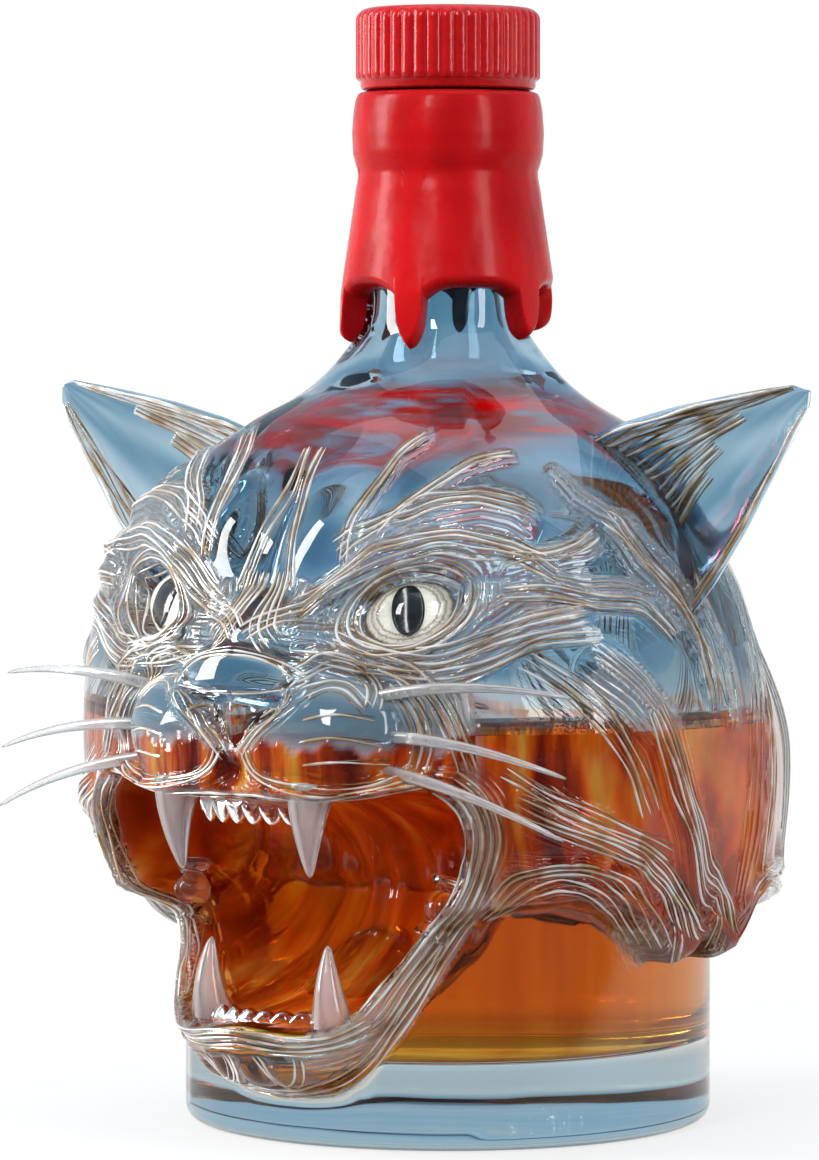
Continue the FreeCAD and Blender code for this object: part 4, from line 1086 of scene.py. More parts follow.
def ear_grid():
    """Rows run from root to tip, columns go round the leaf: front face, rim, back face, rim."""
    lean = np.radians(EAR_LEAN)
    root = spread(EAR_ROOT, EAR_HIGH, EAR_TURN)
    length = spread(np.sin(lean), np.cos(lean), EAR_HEAD)
    forward = np.array([0, -1.0, 0])
    open_way = forward - length * np.dot(forward, length)
    open_way /= np.linalg.norm(open_way)
    wide = np.cross(length, open_way)
    wide = wide if wide[2] > 0 else -wide
    tip = 0.92 + 0.08 * np.sin(np.linspace(0.1, np.pi / 2, 9))
    along = np.concatenate([np.linspace(-0.25, 0.92, 60), tip])[:, None]
    ring = np.linspace(0, 2 * np.pi, 128, endpoint=False)[None, :]
    s = -np.cos(ring)
    half = np.interp(along, EAR_MARKS, EAR_HALF)
    depth = np.interp(along, [-0.25, 0.1, 0.5, 0.8, 1.0], [11, 11, 7.5, 3.5, 0.3])
    thick = (1.1 + 0.9 * (1 - s**2)) * np.interp(along, [0, 0.9, 1.0], [1.0, 0.8, 0.3])
    face = np.sign(np.sin(ring)) * np.abs(np.sin(ring)) ** 0.55
    rolled_rim = 2.2 * bell(np.abs(s) - 0.93, 0.12) * np.interp(along, [0, 0.9, 1], [1, 0.8, 0.2])
    lift = -depth * (1 - s**2) + thick * face + rolled_rim
    grid = root + along[..., None] * EAR_LONG * length
    grid = grid + (half * s)[..., None] * wide + lift[..., None] * open_way
    rim = np.abs(s) + 0 * along
    none = 0 * rim
    count = np.stack([(1 - rim) * half / PITCH, none, none], -1)
    mask = np.stack([ease(0.66, 0.82, rim), none, none], -1)
    # Painted reflection: the ear's bowl deep blue with light and dark streaks; painted shade in brown at the
    # root, where the ear meets the head
    streaks = 0.62 + 0.25 * np.sin(8 * s + 6 * along) + 0.13 * np.sin(19 * s - 5 * along)
    deep = 0.98 * ease(0.84, 0.55, rim) * ease(0.02, 0.2, along) * streaks
    tint = np.stack([deep, 0.7 * ease(0.16, 0.0, along) + none, none], -1)
    return grid, length, along[:, 0], count, mask, tint


def seat(grid, direction):
    """Slides the points that lie deep in the head out along the ear to just under the surface."""
    moved = grid.copy()
    for _ in range(40):
        r = np.hypot(moved[..., 0], moved[..., 1])
        under = np.interp(moved[..., 2], crown[:, 1], crown[:, 0]) - 0.6 - r
        moved = moved + np.clip(under, 0, None)[..., None] * 0.6 * direction
    return moved


crown = outside[(outside[:, 1] > 46) & (outside[:, 1] < 179)]
ear_leaf, ear_way, ear_along, ear_count, ear_mask, ear_paint = ear_grid()
print("ear tip:", ear_leaf[-1].mean(0).round(1))

# %% Both ears
ear_glass = glass_like(glass, "soft_glass_of_the_ears", {"Roughness": 0.1, "IOR": 1.15})
seated = seat(ear_leaf, ear_way)
for sign, hand in HANDS:
    grid = seated * np.array([sign, 1, 1])
    ear = skin(f"{hand}_ear_leaf", grid[:, ::sign], [f"{hand}_ear"], ear_glass)
    carry(ear, "comb_phase", ear_count[:, ::sign])
    carry(ear, "comb_mask", ear_mask[:, ::sign])
    carry(ear, "paint", ear_paint[:, ::sign])

# %% [markdown]
# ## Teeth, tongue and whiskers
# Fangs are curved cones, incisors and cheek teeth are small rounded pegs, the tongue is a long drop, and
# whiskers are thin tapering rods. Nearly all are one idea, a round section carried along a curve while its
# radius changes, so one function makes them. Only the rows of incisors have a formula of their own.


# %% A rod along a curve
def rod(points, radius, columns=28, flat=1.0, lean=None):
    """Circles of the given radii round a path; flat squashes them from above, lean is a way off the path."""
    points = np.asarray(points, float)
    way = np.gradient(points, axis=0)
    way /= np.linalg.norm(way, axis=1, keepdims=True)
    if lean is None:
        lean = np.array([0.0, 1.0, 0.0]) if abs(way[0, 1]) < 0.8 else np.array([1.0, 0, 0])
    first = np.cross(way, lean)
    first /= np.linalg.norm(first, axis=1, keepdims=True)
    second = np.cross(way, first)
    turn = np.linspace(0, 2 * np.pi, columns, endpoint=False)[None, :, None]
    circle = np.cos(turn) * first[:, None] + np.sin(turn) * second[:, None]
    around = np.asarray(radius, float)[:, None, None] * circle
    return points[:, None] + around * (1.0, 1.0, flat)


def bent(start, middle, stop, count):
    """A quadratic curve from start to stop that leans towards middle."""
    t = np.linspace(0, 1, count)[:, None]
    return (1 - t) ** 2 * np.array(start) + 2 * t * (1 - t) * np.array(middle) + t**2 * np.array(stop)


def tapered(count, root, tip):
    """Radii that fall from root to tip as (1 - t)^0.8 and round off at the end."""
    t = np.linspace(0, 1, count)
    return (tip + (root - tip) * (1 - t) ** 0.8) * np.sqrt(np.clip((1.02 - t) / 0.06, 0.02, 1))


# %% Glass of the teeth and whiskers, with painted highlights and painted dark outlines by the angle of view
TOOTH_HIGHLIGHT_AND_SHADE_TONES = [
    (0.02, (1.0, 1.0, 1.0)), (0.16, (0.62, 0.62, 0.62)), (0.32, (0.98, 0.97, 0.95)),
    (0.52, (0.95, 0.94, 0.92)), (0.62, (0.22, 0.16, 0.11)), (0.74, (0.97, 0.95, 0.90)),
    (0.92, (0.30, 0.22, 0.15))]
tooth, tree, shader = new_material("tooth_glass_with_painted_highlights")
veil = noise_node(tree, object_place(tree), 240.0, 2.0, (1.0, 1.0, 0.25))
slant = tree.nodes.new("ShaderNodeLayerWeight")
slant.inputs["Blend"].default_value = 0.5
# Bands of painted highlight and painted dark outline, from the middle that faces the camera to the grazing
# edge
edge_on = math_node(tree, "ADD", slant.outputs["Facing"], wobble(tree, veil, 0.5, 0.25))
feed_all(tree, shader, {
    "Base Color": ramp_node(tree, edge_on, TOOTH_HIGHLIGHT_AND_SHADE_TONES),
    "Transmission Weight": 0.7, "IOR": GLASS_INDEX, "Roughness": 0.05})
print("teeth:", tooth.name)

# %% Fangs: root, bend and tip, number of rows, radius at the root
FANGS = {
    "upper": ([(15, -64.2, 67.6), (15.2, -66.2, 61), (14.4, -63.6, 51.4)], 26, 4.7),
    "lower": ([(13.5, -54.5, 21), (14, -58.5, 29), (13.2, -56.6, 38.4)], 24, 4.6),
}
FANG_TIP = 0.4
for sign, hand in HANDS:
    for row, (route, count, root) in FANGS.items():
        path = bent(*(np.array(route) * (sign, 1, 1)), count)
        skin(f"{row}_{hand}_tooth", rod(path, tapered(count, root, FANG_TIP)), [f"{row}_{hand}_fang"], tooth)

# %% Incisors and cheek teeth
ROW_HALF, PEG_WIDE, PEG_THICK = 11.3, 3.7, 1.5


def peg_row(name, node, root_z, tip_z, y, bend):
    """Six pegs in one mesh: the section along the row grows tall at each peg and low between two."""
    x = np.linspace(-ROW_HALF, ROW_HALF, 220)[:, None]
    dip = 0.35 + 0.65 * np.abs(np.sin((x + 3 * PEG_WIDE) * np.pi / PEG_WIDE)) ** 0.6
    ring = np.linspace(0, 2 * np.pi, 20, endpoint=False)[None, :]
    deep = y + bend * (x / ROW_HALF) ** 2 + PEG_THICK * np.cos(ring)
    half = np.abs(tip_z - root_z) * 0.5 * dip + 1.0
    high = root_z + (tip_z - root_z) * 0.5 * dip + half * np.sin(ring)
    grid = np.stack([x + 0 * ring, deep, high], -1)
    skin(name, grid[:, ::-1], [node], clear)


peg_row("upper_small_teeth", "upper_incisors", 65.0, 61.2, -63.6, 2.5)
peg_row("lower_small_teeth", "lower_incisors", 23.4, 25.4, -60.2, 2.5)
for sign, hand in HANDS:
    beads = np.array([(29.6, -41, 50.5), (28.7, -42.4, 45), (27.0, -44.4, 39.2)]) * (sign, 1, 1)
    t = np.linspace(0, 1, 60)
    path = np.stack([np.interp(t, [0, 0.5, 1], beads[:, k]) for k in range(3)], 1)
    ends = ease(0, 0.08, t + 0.05) * ease(1.0, 0.92, t - 0.05)
    size = 1.6 + 1.9 * np.abs(np.cos(t * 2 * np.pi)) ** 0.7 * ends
    skin(f"{hand}_back_teeth", rod(path, size), [f"{hand}_cheek_teeth"], clear)

# %% Tongue
t = np.linspace(0, 1, 40)
path = bent((0, -19, 38), (0, -34, 20), (0, -55, 22.5), 40)
width = 10.0 * np.sqrt(np.clip(1 - (2 * t - 1) ** 4, 0.01, 1)) * np.interp(t, [0, 0.6, 1], [0.9, 1.0, 0.75])
skin("tongue_drop", rod(path, width, 40, 0.36), ["tongue"], clear)

# %% Whiskers, from root to tip
WHISKERS = {
    "upper": ((18.95, -57, 82.5), (64, -53.5, 85.0)),
    "middle": ((18.95, -57, 76.5), (64, -55.3, 71.0)),
    "lower": ((18.95, -57, 71.5), (64, -56, 60.0)),
}
for sign, hand in HANDS:
    for label, ends in WHISKERS.items():
        root, tip = np.array(ends) * (sign, 1, 1)
        path = bent(root, 0.5 * (root + tip) + (0, -5, 5), tip, 40)
        hair = rod(path, tapered(40, 1.5, 0.3), 20)
        skin(f"{hand}_{label}_hair", hair, [f"{hand}_{label}_whisker"], tooth)

# %% [markdown]
# ## Threads of painted highlight and shade
# The combed ridges along the lips, the nose, the pads, the lids and the locks of fur show as pale lines with
# dark edges. A bump cannot stand out from clear glass like that, so each line is a thin rod half sunk into
# the surface: the pale rods are painted highlights and the brown rods beside them painted shade. Each row
# below is a line of places, angle from the middle and height, how many threads lie side by side, and the
# gap from one to the next.

# %% The lines
THREADS = [
    ([(0, 89.4), (4, 89.2), (8, 88.2), (11.4, 86)], 2, 1.1),
    ([(0, 83.2), (5, 83.3), (10, 84.2)], 1, 1.0),
    ([(11.5, 87), (9.4, 82.5), (5, 78), (1.8, 74.6), (0.8, 72.5)], 2, 1.0),
    ([(4.4, 79.6), (6, 81.6), (8.2, 81.2), (8.4, 79.4), (6.6, 78.4)], 1, 1.0),
    ([(10.6, 85), (13, 88), (16.4, 89.3), (20.4, 88), (23, 85), (22.3, 82)], 3, 1.1),
    ([(2, 73.4), (2.6, 70.8), (5, 68.4), (10, 67), (17, 66.4), (24, 67.4), (30, 70)], 2, 1.1),
    ([(0, 66), (6, 65.8), (13, 65.6), (20, 66.2), (26, 67.7), (31, 68.8)], 2, -0.9),
    ([(34, 68.0), (37.6, 65), (39.2, 58.5), (38.2, 51), (34.6, 44.2), (29, 36.8), (24, 31),
      (20.6, 26)], 4, 1.35),
    ([(0, 23.0), (5, 22.7), (10, 22.1), (16, 22.6), (20.8, 25.2)], 3, -1.25),
    ([(0, 8.8), (8, 9.2), (15, 11.4), (20.6, 15.8), (25, 21.6), (30.5, 29), (36, 37), (40, 43)], 3, 1.25),
    ([(2.4, 18.4), (3.0, 14), (5.8, 11), (9, 13.2), (10.4, 18)], 2, 1.0),
    ([(9, 97.2), (14, 99.8), (19, 103), (25, 106), (34, 107.6), (44, 105.5), (52, 101.5)], 4, 1.3),
    ([(15, 107.6), (22, 112), (32, 115), (41, 115), (50, 112)], 3, 1.5),
    ([(17, 96.3), (21, 94.3), (27, 92.5), (34, 92.3), (40, 94.2), (48, 97), (57, 98)], 3, -1.4),
    ([(9, 91.6), (17, 90.4), (25, 88.9), (32, 87.6), (40, 89.6), (49, 93.2), (59, 94)], 2, -1.3),
    ([(24, 88.2), (29, 86), (33, 81), (35.6, 75), (36.6, 70.4)], 3, 1.4),
    ([(1.5, 92.5), (5, 95.5), (11, 97.5)], 3, 1.4),
    ([(46, 88.5), (52, 84), (58, 78), (63, 70), (66, 62)], 3, 1.6),
    ([(43, 70), (50, 65), (58, 61), (66, 57), (72, 54)], 2, 1.7),
    ([(40, 45), (47, 50), (53, 51.6), (62, 49), (69, 46), (77, 43)], 5, -1.4),
    ([(44, 63), (55, 57), (66, 50.5), (74, 46), (80, 41)], 5, 1.2),
    ([(66, 80), (72, 65), (79, 51), (90, 41)], 5, 1.2),
    ([(96, 46.6), (110, 46.6), (140, 46.6), (179, 46.6)], 3, -1.6),
    ([(6.4, 103), (4.6, 112), (2.6, 122), (3.4, 128)], 2, 1.6),
    ([(16.6, 107), (17.3, 114), (20, 120), (24, 126), (30, 129.5)], 2, 1.5),
    ([(22, 111), (27, 116), (34, 120), (41, 123.3), (50, 125.2)], 2, 1.5),
    ([(44, 104.5), (52, 105), (58, 107), (62, 109.5)], 2, 1.5),
    ([(44, 101.5), (52, 100.8), (60, 99.5), (68, 99), (75, 94)], 2, -1.5),
    ([(63, 112), (66, 108), (70, 103.5), (76, 99), (80, 92), (83, 80)], 3, 1.6),
    ([(106, 111), (106, 95), (104, 75), (102, 56), (101, 48)], 2, 2.4),
    ([(126, 112), (127, 92), (127, 66), (128, 48)], 3, 2.2),
    ([(151, 112), (154, 90), (157, 62), (158, 47)], 3, 1.9),
    ([(176, 110), (175, 88), (175, 62), (175, 47)], 3, 1.9),
    ([(25, 85.4), (28.6, 81), (30, 76), (29, 71.4)], 3, 1.3),
    ([(0.8, 106), (0.9, 100), (1.2, 96), (2.2, 93), (5, 90.6)], 4, 1.3),
    ([(32.8, 67.2), (36.4, 64.4), (37.9, 58.5), (36.9, 51), (33.3, 44.5), (27.8, 37.3), (22.8, 31.6),
      (19.6, 27)], 2, -0.9),
    ([(12, 84.6), (15.4, 86.8), (19.6, 86.2), (23.4, 82.4)], 2, -1.5),
    ([(13, 79.2), (18, 80.4), (24, 79.6)], 1, 1.0),
    ([(12.4, 75.4), (18, 76.4), (25, 75.4)], 1, 1.0),
    ([(13, 71.6), (19, 72.2), (26, 72.2)], 1, 1.0),
]

# On an ear, a place is a share of its half width and a share of its length.
EAR_THREADS = [
    ([(0.93, 0.02), (0.93, 0.5), (0.9, 0.96)], 4, 1.0),
    ([(-0.93, 0.06), (-0.93, 0.5), (-0.9, 0.96)], 3, -1.0),
    ([(0.62, 0.05), (0.6, 0.35), (0.66, 0.72)], 3, 1.2),
    ([(0.3, 0.05), (0.32, 0.3), (0.46, 0.55)], 3, 1.3),
    ([(0.0, 0.08), (0.05, 0.25), (0.2, 0.45)], 2, 1.4),
    ([(0.9, 0.06), (0.4, 0.1), (-0.2, 0.14), (-0.86, 0.2)], 3, -1.3),
]


def around_eye(share):
    """A closed line at a share of the almond round the eye."""
    turn = np.linspace(0, 2 * np.pi, 40)
    c, s = np.cos(np.radians(EYE_TILT)), np.sin(np.radians(EYE_TILT))
    x = share * EYE_LONG * np.cos(turn)
    y = share * np.where(turn < np.pi, EYE_RISE, EYE_DROP) * np.sin(turn)
    return np.stack([EYE_TURN + (x * c - y * s) / ARC, EYE_HIGH + x * s + y * c], 1)


print("lines of threads:", len(THREADS))


# %% Laying the threads on the glass
def between(grid, row, column):
    """Points of a grid at broken row and column numbers, read between the four nearest points."""
    i, j = np.floor(row).astype(int), np.floor(column).astype(int)
    f, g = (row - i)[:, None], (column - j)[:, None]
    low = grid[i, j] * (1 - g) + grid[i, j + 1] * g
    high = grid[i + 1, j] * (1 - g) + grid[i + 1, j + 1] * g
    return low * (1 - f) + high * f


def on_glass(a, z):
    """Points of the outside at angles and heights."""
    rows = np.flatnonzero(carved)
    column = np.clip(np.interp(a, turns, np.arange(len(turns))), 0, len(turns) - 1.001)
    return between(shell_out, np.interp(z, steady[rows, 0], rows), column)


def on_ear(s, along):
    """Points of an ear's front at a share of its half width and a share of its length."""
    row = np.clip(np.interp(along, ear_along, np.arange(len(ear_along))), 0, len(ear_along) - 1.001)
    return between(seated, row, np.arccos(np.clip(-s, -1, 1)) / (2 * np.pi) * seated.shape[1])


THREAD_STEP, EAR_ACROSS = 0.8, 14.0


def thread(places, aside, sign, radius, ear=False):
    """A rod along a rounded line through the places, moved aside, thin at both ends."""
    scale = np.array([EAR_ACROSS, EAR_LONG] if ear else [ARC, 1.0])
    corners = np.array(places, float) * scale
    reached = np.concatenate([[0], np.cumsum(np.hypot(*np.diff(corners, axis=0).T))])
    count = int(reached[-1] / THREAD_STEP) + 8
    even = np.linspace(0, reached[-1], count)
    line = smooth(np.stack([np.interp(even, reached, corners[:, k]) for k in (0, 1)], 1), 12)
    way = np.gradient(line, axis=0)
    way /= np.hypot(*way.T)[:, None]
    aside = aside + 0.22 * np.sin(even * 0.31 + 9.0 * aside)
    line = line + aside[:, None] * np.stack([-way[:, 1], way[:, 0]], 1)
    if ear:
        points = smooth(on_ear(*(line / scale).T) * (sign, 1, 1), 3)
        lean = np.array([0, -1.0, 0.1])
    else:
        points = smooth(on_glass(sign * line[:, 0] / ARC, line[:, 1]), 3)
        lean = points * (1, 1, 0) / np.linalg.norm(points * (1, 1, 0), axis=1, keepdims=True)
    t = np.linspace(0, 1, count)
    swell = 1 + 0.3 * np.sin(even * 0.45 + 2.0 * aside)
    return rod(points, radius * swell * (0.3 + 0.7 * np.clip(t * (1 - t) * 14, 0, 1) ** 0.5), 8, lean=lean)


def bundle(lines, sign, radius, shift=0.0, ear=False):
    """The threads of all the lines, side by side; shift is a share of the gap from one to the next."""
    laid = [(places, (n + shift) * gap) for places, many, gap in lines for n in range(many)]
    return [thread(places, aside, sign, radius, ear) for places, aside in laid]


def thread_material(name, dark, light, clearness):
    """Half clear glass for the threads, whose tones are painted highlight on the pale ones and painted shade
    on the brown ones; it drifts from one tone to another along its length.
    """
    material, tree, shader = new_material(name)
    drift = noise_node(tree, object_place(tree), 120.0, 2.0)
    feed_all(tree, shader, {
        "Base Color": ramp_node(tree, drift, [(0.40, dark), (0.54, light)]),
        "Transmission Weight": clearness, "IOR": GLASS_INDEX, "Roughness": 0.1})
    return material


# Pale threads are painted highlights; brown threads lie between them as painted shade lines
pale = thread_material("thread_glass_painted_as_highlight", (0.62, 0.42, 0.22), (1.0, 0.98, 0.94), 0.4)
brown = thread_material("thread_glass_painted_as_shade", (0.22, 0.11, 0.04), (0.46, 0.30, 0.15), 0.5)
PALE_RADIUS, PALE_ON_EAR = 0.23, 0.34
BROWN_RADIUS, BROWN_ELSEWHERE = 0.14, 0.2
for sign, hand in HANDS:
    light = bundle(THREADS, sign, PALE_RADIUS)
    light += [thread(around_eye(share), 0.0, sign, PALE_RADIUS) for share in (1.06, 1.22, 1.42)]
    light += bundle(EAR_THREADS, sign, PALE_ON_EAR, ear=True)
    dark = bundle(THREADS, sign, BROWN_RADIUS, 0.45)
    dark += [thread(around_eye(share), 0.0, sign, BROWN_ELSEWHERE) for share in (1.13, 1.31)]
    dark += bundle(EAR_THREADS, sign, BROWN_ELSEWHERE, 0.5, True)
    skin(f"{hand}_highlight_threads", [grid[:, ::sign] for grid in light], [], pale)
    skin(f"{hand}_shade_threads", [grid[:, ::sign] for grid in dark], [], brown)

# %% [markdown]
# ## Red sealing wax
# The neck was dipped in sealing wax, which ran down in drips before it set. The sleeve is one surface:
# outside up from its ragged edge, over the top and down the inside against the glass. Its lower edge is
# lowered at each drip by a rounded tongue. Wax is glossy with soft waves, so its bump is a slow noise.

# %% Wax material
wax, tree, shader = new_material("red_sealing_wax")
group, out = new_group("wax_waves", [
    ("Color", "NodeSocketColor"), ("Height", "NodeSocketFloat"), ("Roughness", "NodeSocketFloat")])
place = object_place(group)
broad = noise_node(group, place, 95.0, 2.0, (1, 1, 0.45))
fine = noise_node(group, place, 700.0, 3.0)
reds = ramp_node(group, broad, [(0.3, (0.42, 0.003, 0.005)), (0.7, (0.62, 0.007, 0.009))])
group.links.new(reds, out.inputs["Color"])
height = math_node(group, "ADD", broad, math_node(group, "MULTIPLY", fine, 0.05))
group.links.new(height, out.inputs["Height"])
rough = math_node(group, "ADD", math_node(group, "MULTIPLY", fine, 0.14), 0.22)
group.links.new(rough, out.inputs["Roughness"])
waves = use_group(tree, group)
feed_all(tree, shader, {
    "Base Color": waves["Color"], "Roughness": waves["Roughness"],
    "Normal": bump_node(tree, waves["Height"], 0.0008),
    "Specular IOR Level": 0.12, "Coat Weight": 0.05, "Coat Roughness": 0.08})
print("wax:", wax.name)

# %% Wax sleeve: its top and edge, its radius by height, and where the drips run and how long they are
WAX_TOP, WAX_EDGE, WAX_ROLL = 194.3, 157.6, 2.4
DRIP_LONG, COLLAR_SKIN, COLLAR_FOOT = 11.6, 16.2, 180.5
DRIPS = ((13, 1.0), (85, 0.85), (145, 0.7), (200, 1.0), (255, 0.75), (310, 0.9))
WAX = np.array([
    (140, 20.3), (150, 20.6), (156, 20.4), (160, 19.9), (166, 19.0), (172, 18.1), (176.3, 17.5), (178, 17.15),
    (179.6, 17.0), (181, 17.5), (183, 18.0), (187, 18.2), (191, 17.9), (193.4, 17.5), (194.4, 17.0)])
around = np.linspace(-180, 180, 360, endpoint=False)
edge = np.full(360, WAX_EDGE)
for where, share in DRIPS:
    apart = np.abs((around - where + 180) % 360 - 180)
    drop = share * DRIP_LONG * np.clip(1 - (apart / 8.0) ** 2, 0, 1) ** 0.4
    edge = np.minimum(edge, WAX_EDGE - np.maximum(drop, share * 3.4 * bell(apart, 13)))


def under_wax(z):
    """Radius of the wax's inside, a little inside the glass: a straight neck that flares at its foot."""
    flared = FLARE_MID[0] - np.sqrt(np.clip(FLARE_BEND**2 - (FLARE_MID[1] - z) ** 2, 0, None))
    return np.where(z < FLARE_MID[1], flared, NECK_RADIUS) - 0.1


z = edge + (WAX_TOP - edge) * (np.linspace(0, 1, 64) ** 1.5)[:, None]
bulge = np.sqrt(np.clip(1 - (1 - np.clip((z - edge) / WAX_ROLL, 0, 1)) ** 2, 0.0, 1))
r = under_wax(z) + (np.interp(z, WAX[:, 0], WAX[:, 1]) - under_wax(z)) * (0.06 + 0.94 * bulge)
outer = spread(r, z, around)
crest = spread(np.array([[COLLAR_SKIN + 0.3], [COLLAR_SKIN]]), WAX_TOP + 0.28, around)
z = edge + (WAX_TOP - edge) * np.linspace(0.98, 0.0, 24)[:, None]
inner = spread(np.where(z > COLLAR_FOOT, COLLAR_SKIN, under_wax(z)), z, around)
sleeve_grid = np.concatenate([outer, crest, inner, outer[:1]])
skin("wax_coat", sleeve_grid, ["wax_sleeve"], wax, closed=False)

# %% [markdown]
# ## The stopper
# The stopper is a red moulded cap with ribs to grip and a cork below it. The ribs are in the surface
# itself: the radius goes up and down 42 times round the cap and fades out at its rounded top.

# %% Stopper material
cap_red, tree, shader = new_material("moulded_red_cap")
fleck = noise_node(tree, object_place(tree), 420.0, 4.0)
feed_all(tree, shader, {
    "Base Color": ramp_node(tree, fleck, [(0.3, (0.48, 0.005, 0.007)), (0.7, (0.58, 0.008, 0.010))]),
    "Normal": bump_node(tree, fleck, 0.00012),
    "Roughness": 0.22, "Specular IOR Level": 0.25, "Coat Weight": 0.1})
print("stopper:", cap_red.name)

# %% Stopper head
RIBS, CAP_RADIUS, CAP_MOST = 42, 17.4, 17.49
low, high = (corner[2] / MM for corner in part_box("stopper_head"))
turn = np.linspace(-180, 180, 504, endpoint=False)[None, :]
outline = np.concatenate([
    run((3, low), (15.6, low), 4),
    [(16.3, low + 0.2), (16.6, low + 0.7), (16.6, low + 1.6), (17.0, low + 1.9)],
    run((CAP_RADIUS, low + 2.3), (CAP_RADIUS, high - 2.6), 14),
    bow((CAP_RADIUS - 2.4, high - 2.4), 2.4, 2, 88, 9),
    run((14, high), (2, high), 5)])
r, z = outline[:, :1], outline[:, 1:]
ribbed = ease(low + 1.8, low + 2.6, z) * ease(high - 0.3, high - 1.8, z) * (r > 15)
r = r + ribbed * (0.45 * np.abs(np.cos(RIBS / 2 * np.radians(turn))) ** 0.8 - 0.36)
cap = spread(np.minimum(r, CAP_MOST), z, turn)
skin("ribbed_cap", cap, ["stopper_head"], cap_red, "stopper")

# %% Cork
cork, tree, shader = new_material("pressed_cork")
place = object_place(tree)
cells = tree.nodes.new("ShaderNodeTexVoronoi")
cells.inputs["Scale"].default_value = 520.0
tree.links.new(place, cells.inputs["Vector"])
grain = math_node(tree, "MULTIPLY", cells.outputs["Distance"], noise_node(tree, place, 240.0, 5.0))
browns = [(0.05, (0.24, 0.12, 0.05)), (0.22, (0.50, 0.30, 0.14)), (0.5, (0.62, 0.42, 0.23))]
feed_all(tree, shader, {
    "Base Color": ramp_node(tree, grain, browns), "Normal": bump_node(tree, grain, 0.0005),
    "Roughness": 0.85})
CORK_RADIUS = 9.42
low, high = (corner[2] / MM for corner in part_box("cork"))
outline = np.concatenate([
    run((2, low), (8.2, low), 4),
    bow((8.6, low + 0.8), 0.8, -80, 0, 5),
    run((CORK_RADIUS, low + 2), (CORK_RADIUS, high - 1), 12),
    run((9.2, high), (2, high), 4)])
plug = spread(outline[:, :1], outline[:, 1:], np.linspace(-180, 180, 96, endpoint=False)[None, :])
skin("cork_plug", plug, ["cork"], cork, "stopper")

# %% [markdown]
# ## Floor, light and camera
# A clear bottle shows its surroundings, so the set matters as much as the material: a white sweep behind,
# pale floor, a blue-grey ceiling of soft light that the curved glass gathers into its smooth patches, where
# the glass's tint adds painted blue reflection, and four soft lamps for the highlights. The floor is plain
# white for the camera, mirrors and glass, and takes a faint shadow. The room on the camera's side is dim,
# so that it lays no pale veil over the dark liquor.

# %% Floor
VIEW_TURN = np.radians(35)
LOOKING = (-np.sin(VIEW_TURN), np.cos(VIEW_TURN), 0.0)
ROOM, SWEEP = (0.05, 0.05, 0.055), (0.86, 0.86, 0.86)


def along_view(tree, vector):
    """How far a place or a direction lies along the level line of sight."""
    node = tree.nodes.new("ShaderNodeVectorMath")
    node.operation = "DOT_PRODUCT"
    node.inputs[1].default_value = LOOKING
    tree.links.new(vector, node.inputs[0])
    return node.outputs["Value"]


floor_mesh = bpy.data.meshes.new("studio_floor")
floor_mesh.from_pydata([(-4, -4, 0), (4, -4, 0), (4, 4, 0), (-4, 4, 0)], [], [(0, 1, 2, 3)])
floor = bpy.data.objects.new("studio_floor", floor_mesh)
bpy.context.scene.collection.objects.link(floor)
sweep, tree, shader = new_material("pale_sweep")
place = object_place(tree)
ray = tree.nodes.new("ShaderNodeLightPath").outputs
seen = math_node(tree, "MAXIMUM", ray["Is Camera Ray"], ray["Is Glossy Ray"], ray["Is Transmission Ray"])
spot = tree.nodes.new("ShaderNodeVectorMath")
spot.operation = "LENGTH"
tree.links.new(place, spot.inputs[0])
off_shadow = range_node(tree, spot.outputs["Value"], 0.06, 0.22, 0.75)
near_side = range_node(tree, along_view(tree, place), -0.06, -0.13)
not_camera = math_node(tree, "SUBTRACT", 1.0, ray["Is Camera Ray"])
spared = math_node(tree, "SUBTRACT", 1.0, math_node(tree, "MULTIPLY", ray["Is Transmission Ray"], 0.5))
in_room = math_node(tree, "MULTIPLY", near_side, not_camera, spared)
feed_all(tree, shader, {"Base Color": mix_node(tree, in_room, SWEEP, ROOM), "Roughness": 0.9})
glow = tree.nodes.new("ShaderNodeEmission")
glow.inputs["Strength"].default_value = 1.0
mix = tree.nodes.new("ShaderNodeMixShader")
lit = math_node(tree, "MULTIPLY", seen, off_shadow, math_node(tree, "SUBTRACT", 1.0, in_room))
tree.links.new(lit, mix.inputs["Fac"])
tree.links.new(shader.outputs["BSDF"], mix.inputs[1])
tree.links.new(glow.outputs["Emission"], mix.inputs[2])
tree.links.new(mix.outputs["Shader"], tree.nodes["Material Output"].inputs["Surface"])
floor_mesh.materials.append(sweep)
print("floor:", floor.name)

# %% World
WHITE, ZENITH = (1, 1, 1), (0.60, 0.68, 0.76)
SWEEP_SKY = [
    (0.0, WHITE), (0.06, WHITE), (0.16, (0.74, 0.84, 0.90)), (0.36, (0.40, 0.54, 0.66)),
    (0.7, (0.26, 0.38, 0.48)), (1.0, ZENITH)]
ROOM_SKY = [(0.0, ROOM), (0.2, (0.06, 0.08, 0.10)), (0.7, (0.16, 0.25, 0.34)), (1.0, ZENITH)]
world = bpy.data.worlds.new("studio")
bpy.context.scene.world = world
world.use_nodes = True
tree = world.node_tree
heading = tree.nodes.new("ShaderNodeTexCoord").outputs["Generated"]
up = split_node(tree, heading)["Z"]
ray = tree.nodes.new("ShaderNodeLightPath").outputs
far_side = range_node(tree, along_view(tree, heading), -0.35, 0.15)
through = math_node(tree, "MULTIPLY", ray["Is Transmission Ray"], 0.3)
on_sweep = math_node(tree, "MAXIMUM", far_side, ray["Is Camera Ray"], through)
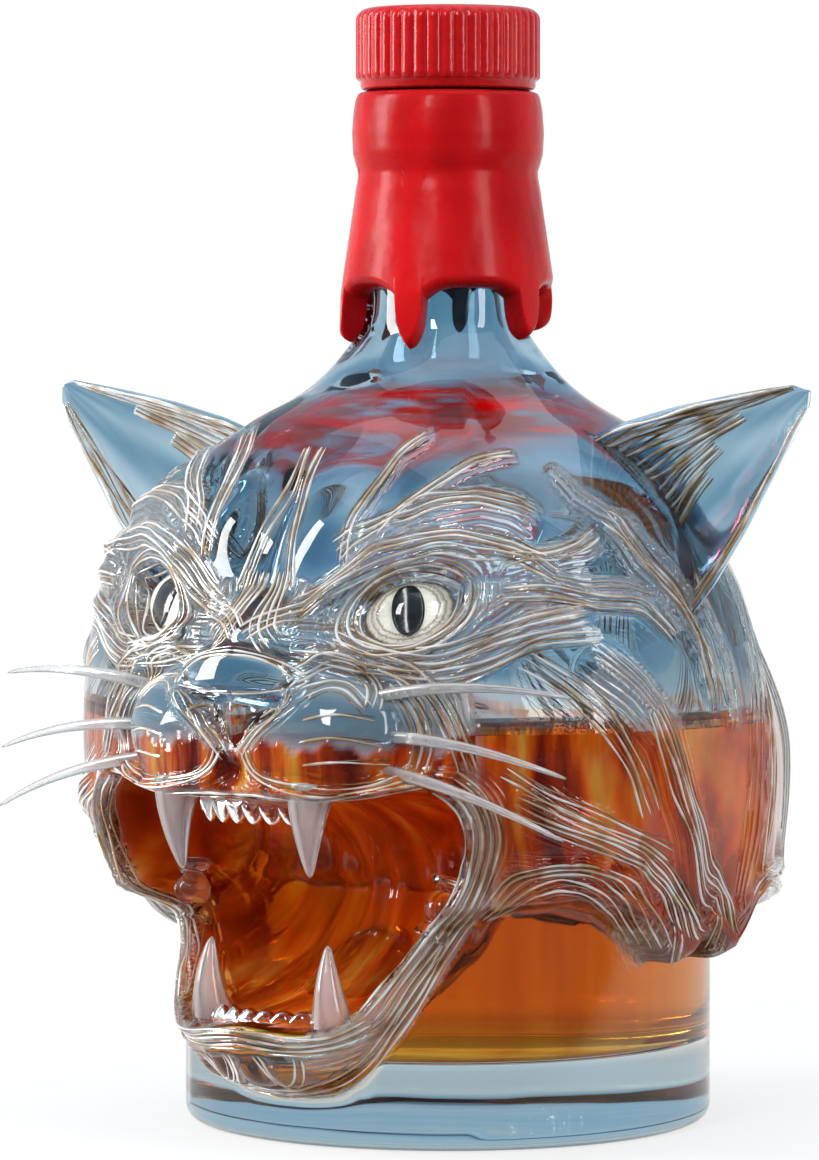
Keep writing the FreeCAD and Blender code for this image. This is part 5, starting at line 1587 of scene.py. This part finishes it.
sky = mix_node(tree, on_sweep, ramp_node(tree, up, ROOM_SKY), ramp_node(tree, up, SWEEP_SKY))
feed_all(tree, tree.nodes["Background"], {"Color": sky, "Strength": 1.0})
print("world:", world.name)


# %% Lamps: place, width and height, power
LAMPS_AIM = (0, 0, 0.12)
LAMPS = {
    "left_box": ((-0.9, -0.7, 0.55), (0.35, 0.9), 16),
    "key_box": ((0.2, -1.1, 0.8), (0.18, 0.5), 6),
    "right_box": ((1.1, -0.15, 0.5), (0.25, 0.9), 7),
    "top_box": ((0.1, 0.2, 1.2), (1.5, 1.2), 5),
}


def stand(name, data, place, aim):
    """A lamp or a camera at a place, turned to look at aim."""
    holder = bpy.data.objects.new(name, data)
    holder.location = place
    holder.rotation_euler = (Vector(aim) - Vector(place)).to_track_quat("-Z", "Y").to_euler()
    bpy.context.scene.collection.objects.link(holder)
    return holder


for name, (place, size, power) in LAMPS.items():
    lamp = bpy.data.lights.new(name, "AREA")
    lamp.shape = "RECTANGLE"
    lamp.size, lamp.size_y = size
    lamp.energy = power
    stand(name, lamp, place, LAMPS_AIM)
print("lamps:", len(LAMPS))

# %% Camera
ASIDE, AIM_HIGH, DISTANCE, CAMERA_HIGH = 0.0073, 0.1022, 1.045, 0.1497
camera_data = bpy.data.cameras.new("photo_camera")
camera_data.sensor_fit = "VERTICAL"
camera_data.sensor_height = 24.0
camera_data.lens = 113.8
aim = (-ASIDE * np.cos(VIEW_TURN), -ASIDE * np.sin(VIEW_TURN), AIM_HIGH)
place = (DISTANCE * np.sin(VIEW_TURN), -DISTANCE * np.cos(VIEW_TURN), CAMERA_HIGH)
camera = stand("photo_camera", camera_data, place, aim)
scene = bpy.context.scene
scene.camera = camera
scene.view_settings.view_transform = "Standard"
scene.cycles.max_bounces = 32
scene.cycles.transmission_bounces = 32
scene.cycles.transparent_max_bounces = 32
print("camera at", [round(c, 3) for c in camera.location])

# %% [markdown]
# ## The end
# The looks must not make the bottle bigger than the CAD model. The last step brings the scene up to date.

# %% The end
bpy.context.view_layer.update()
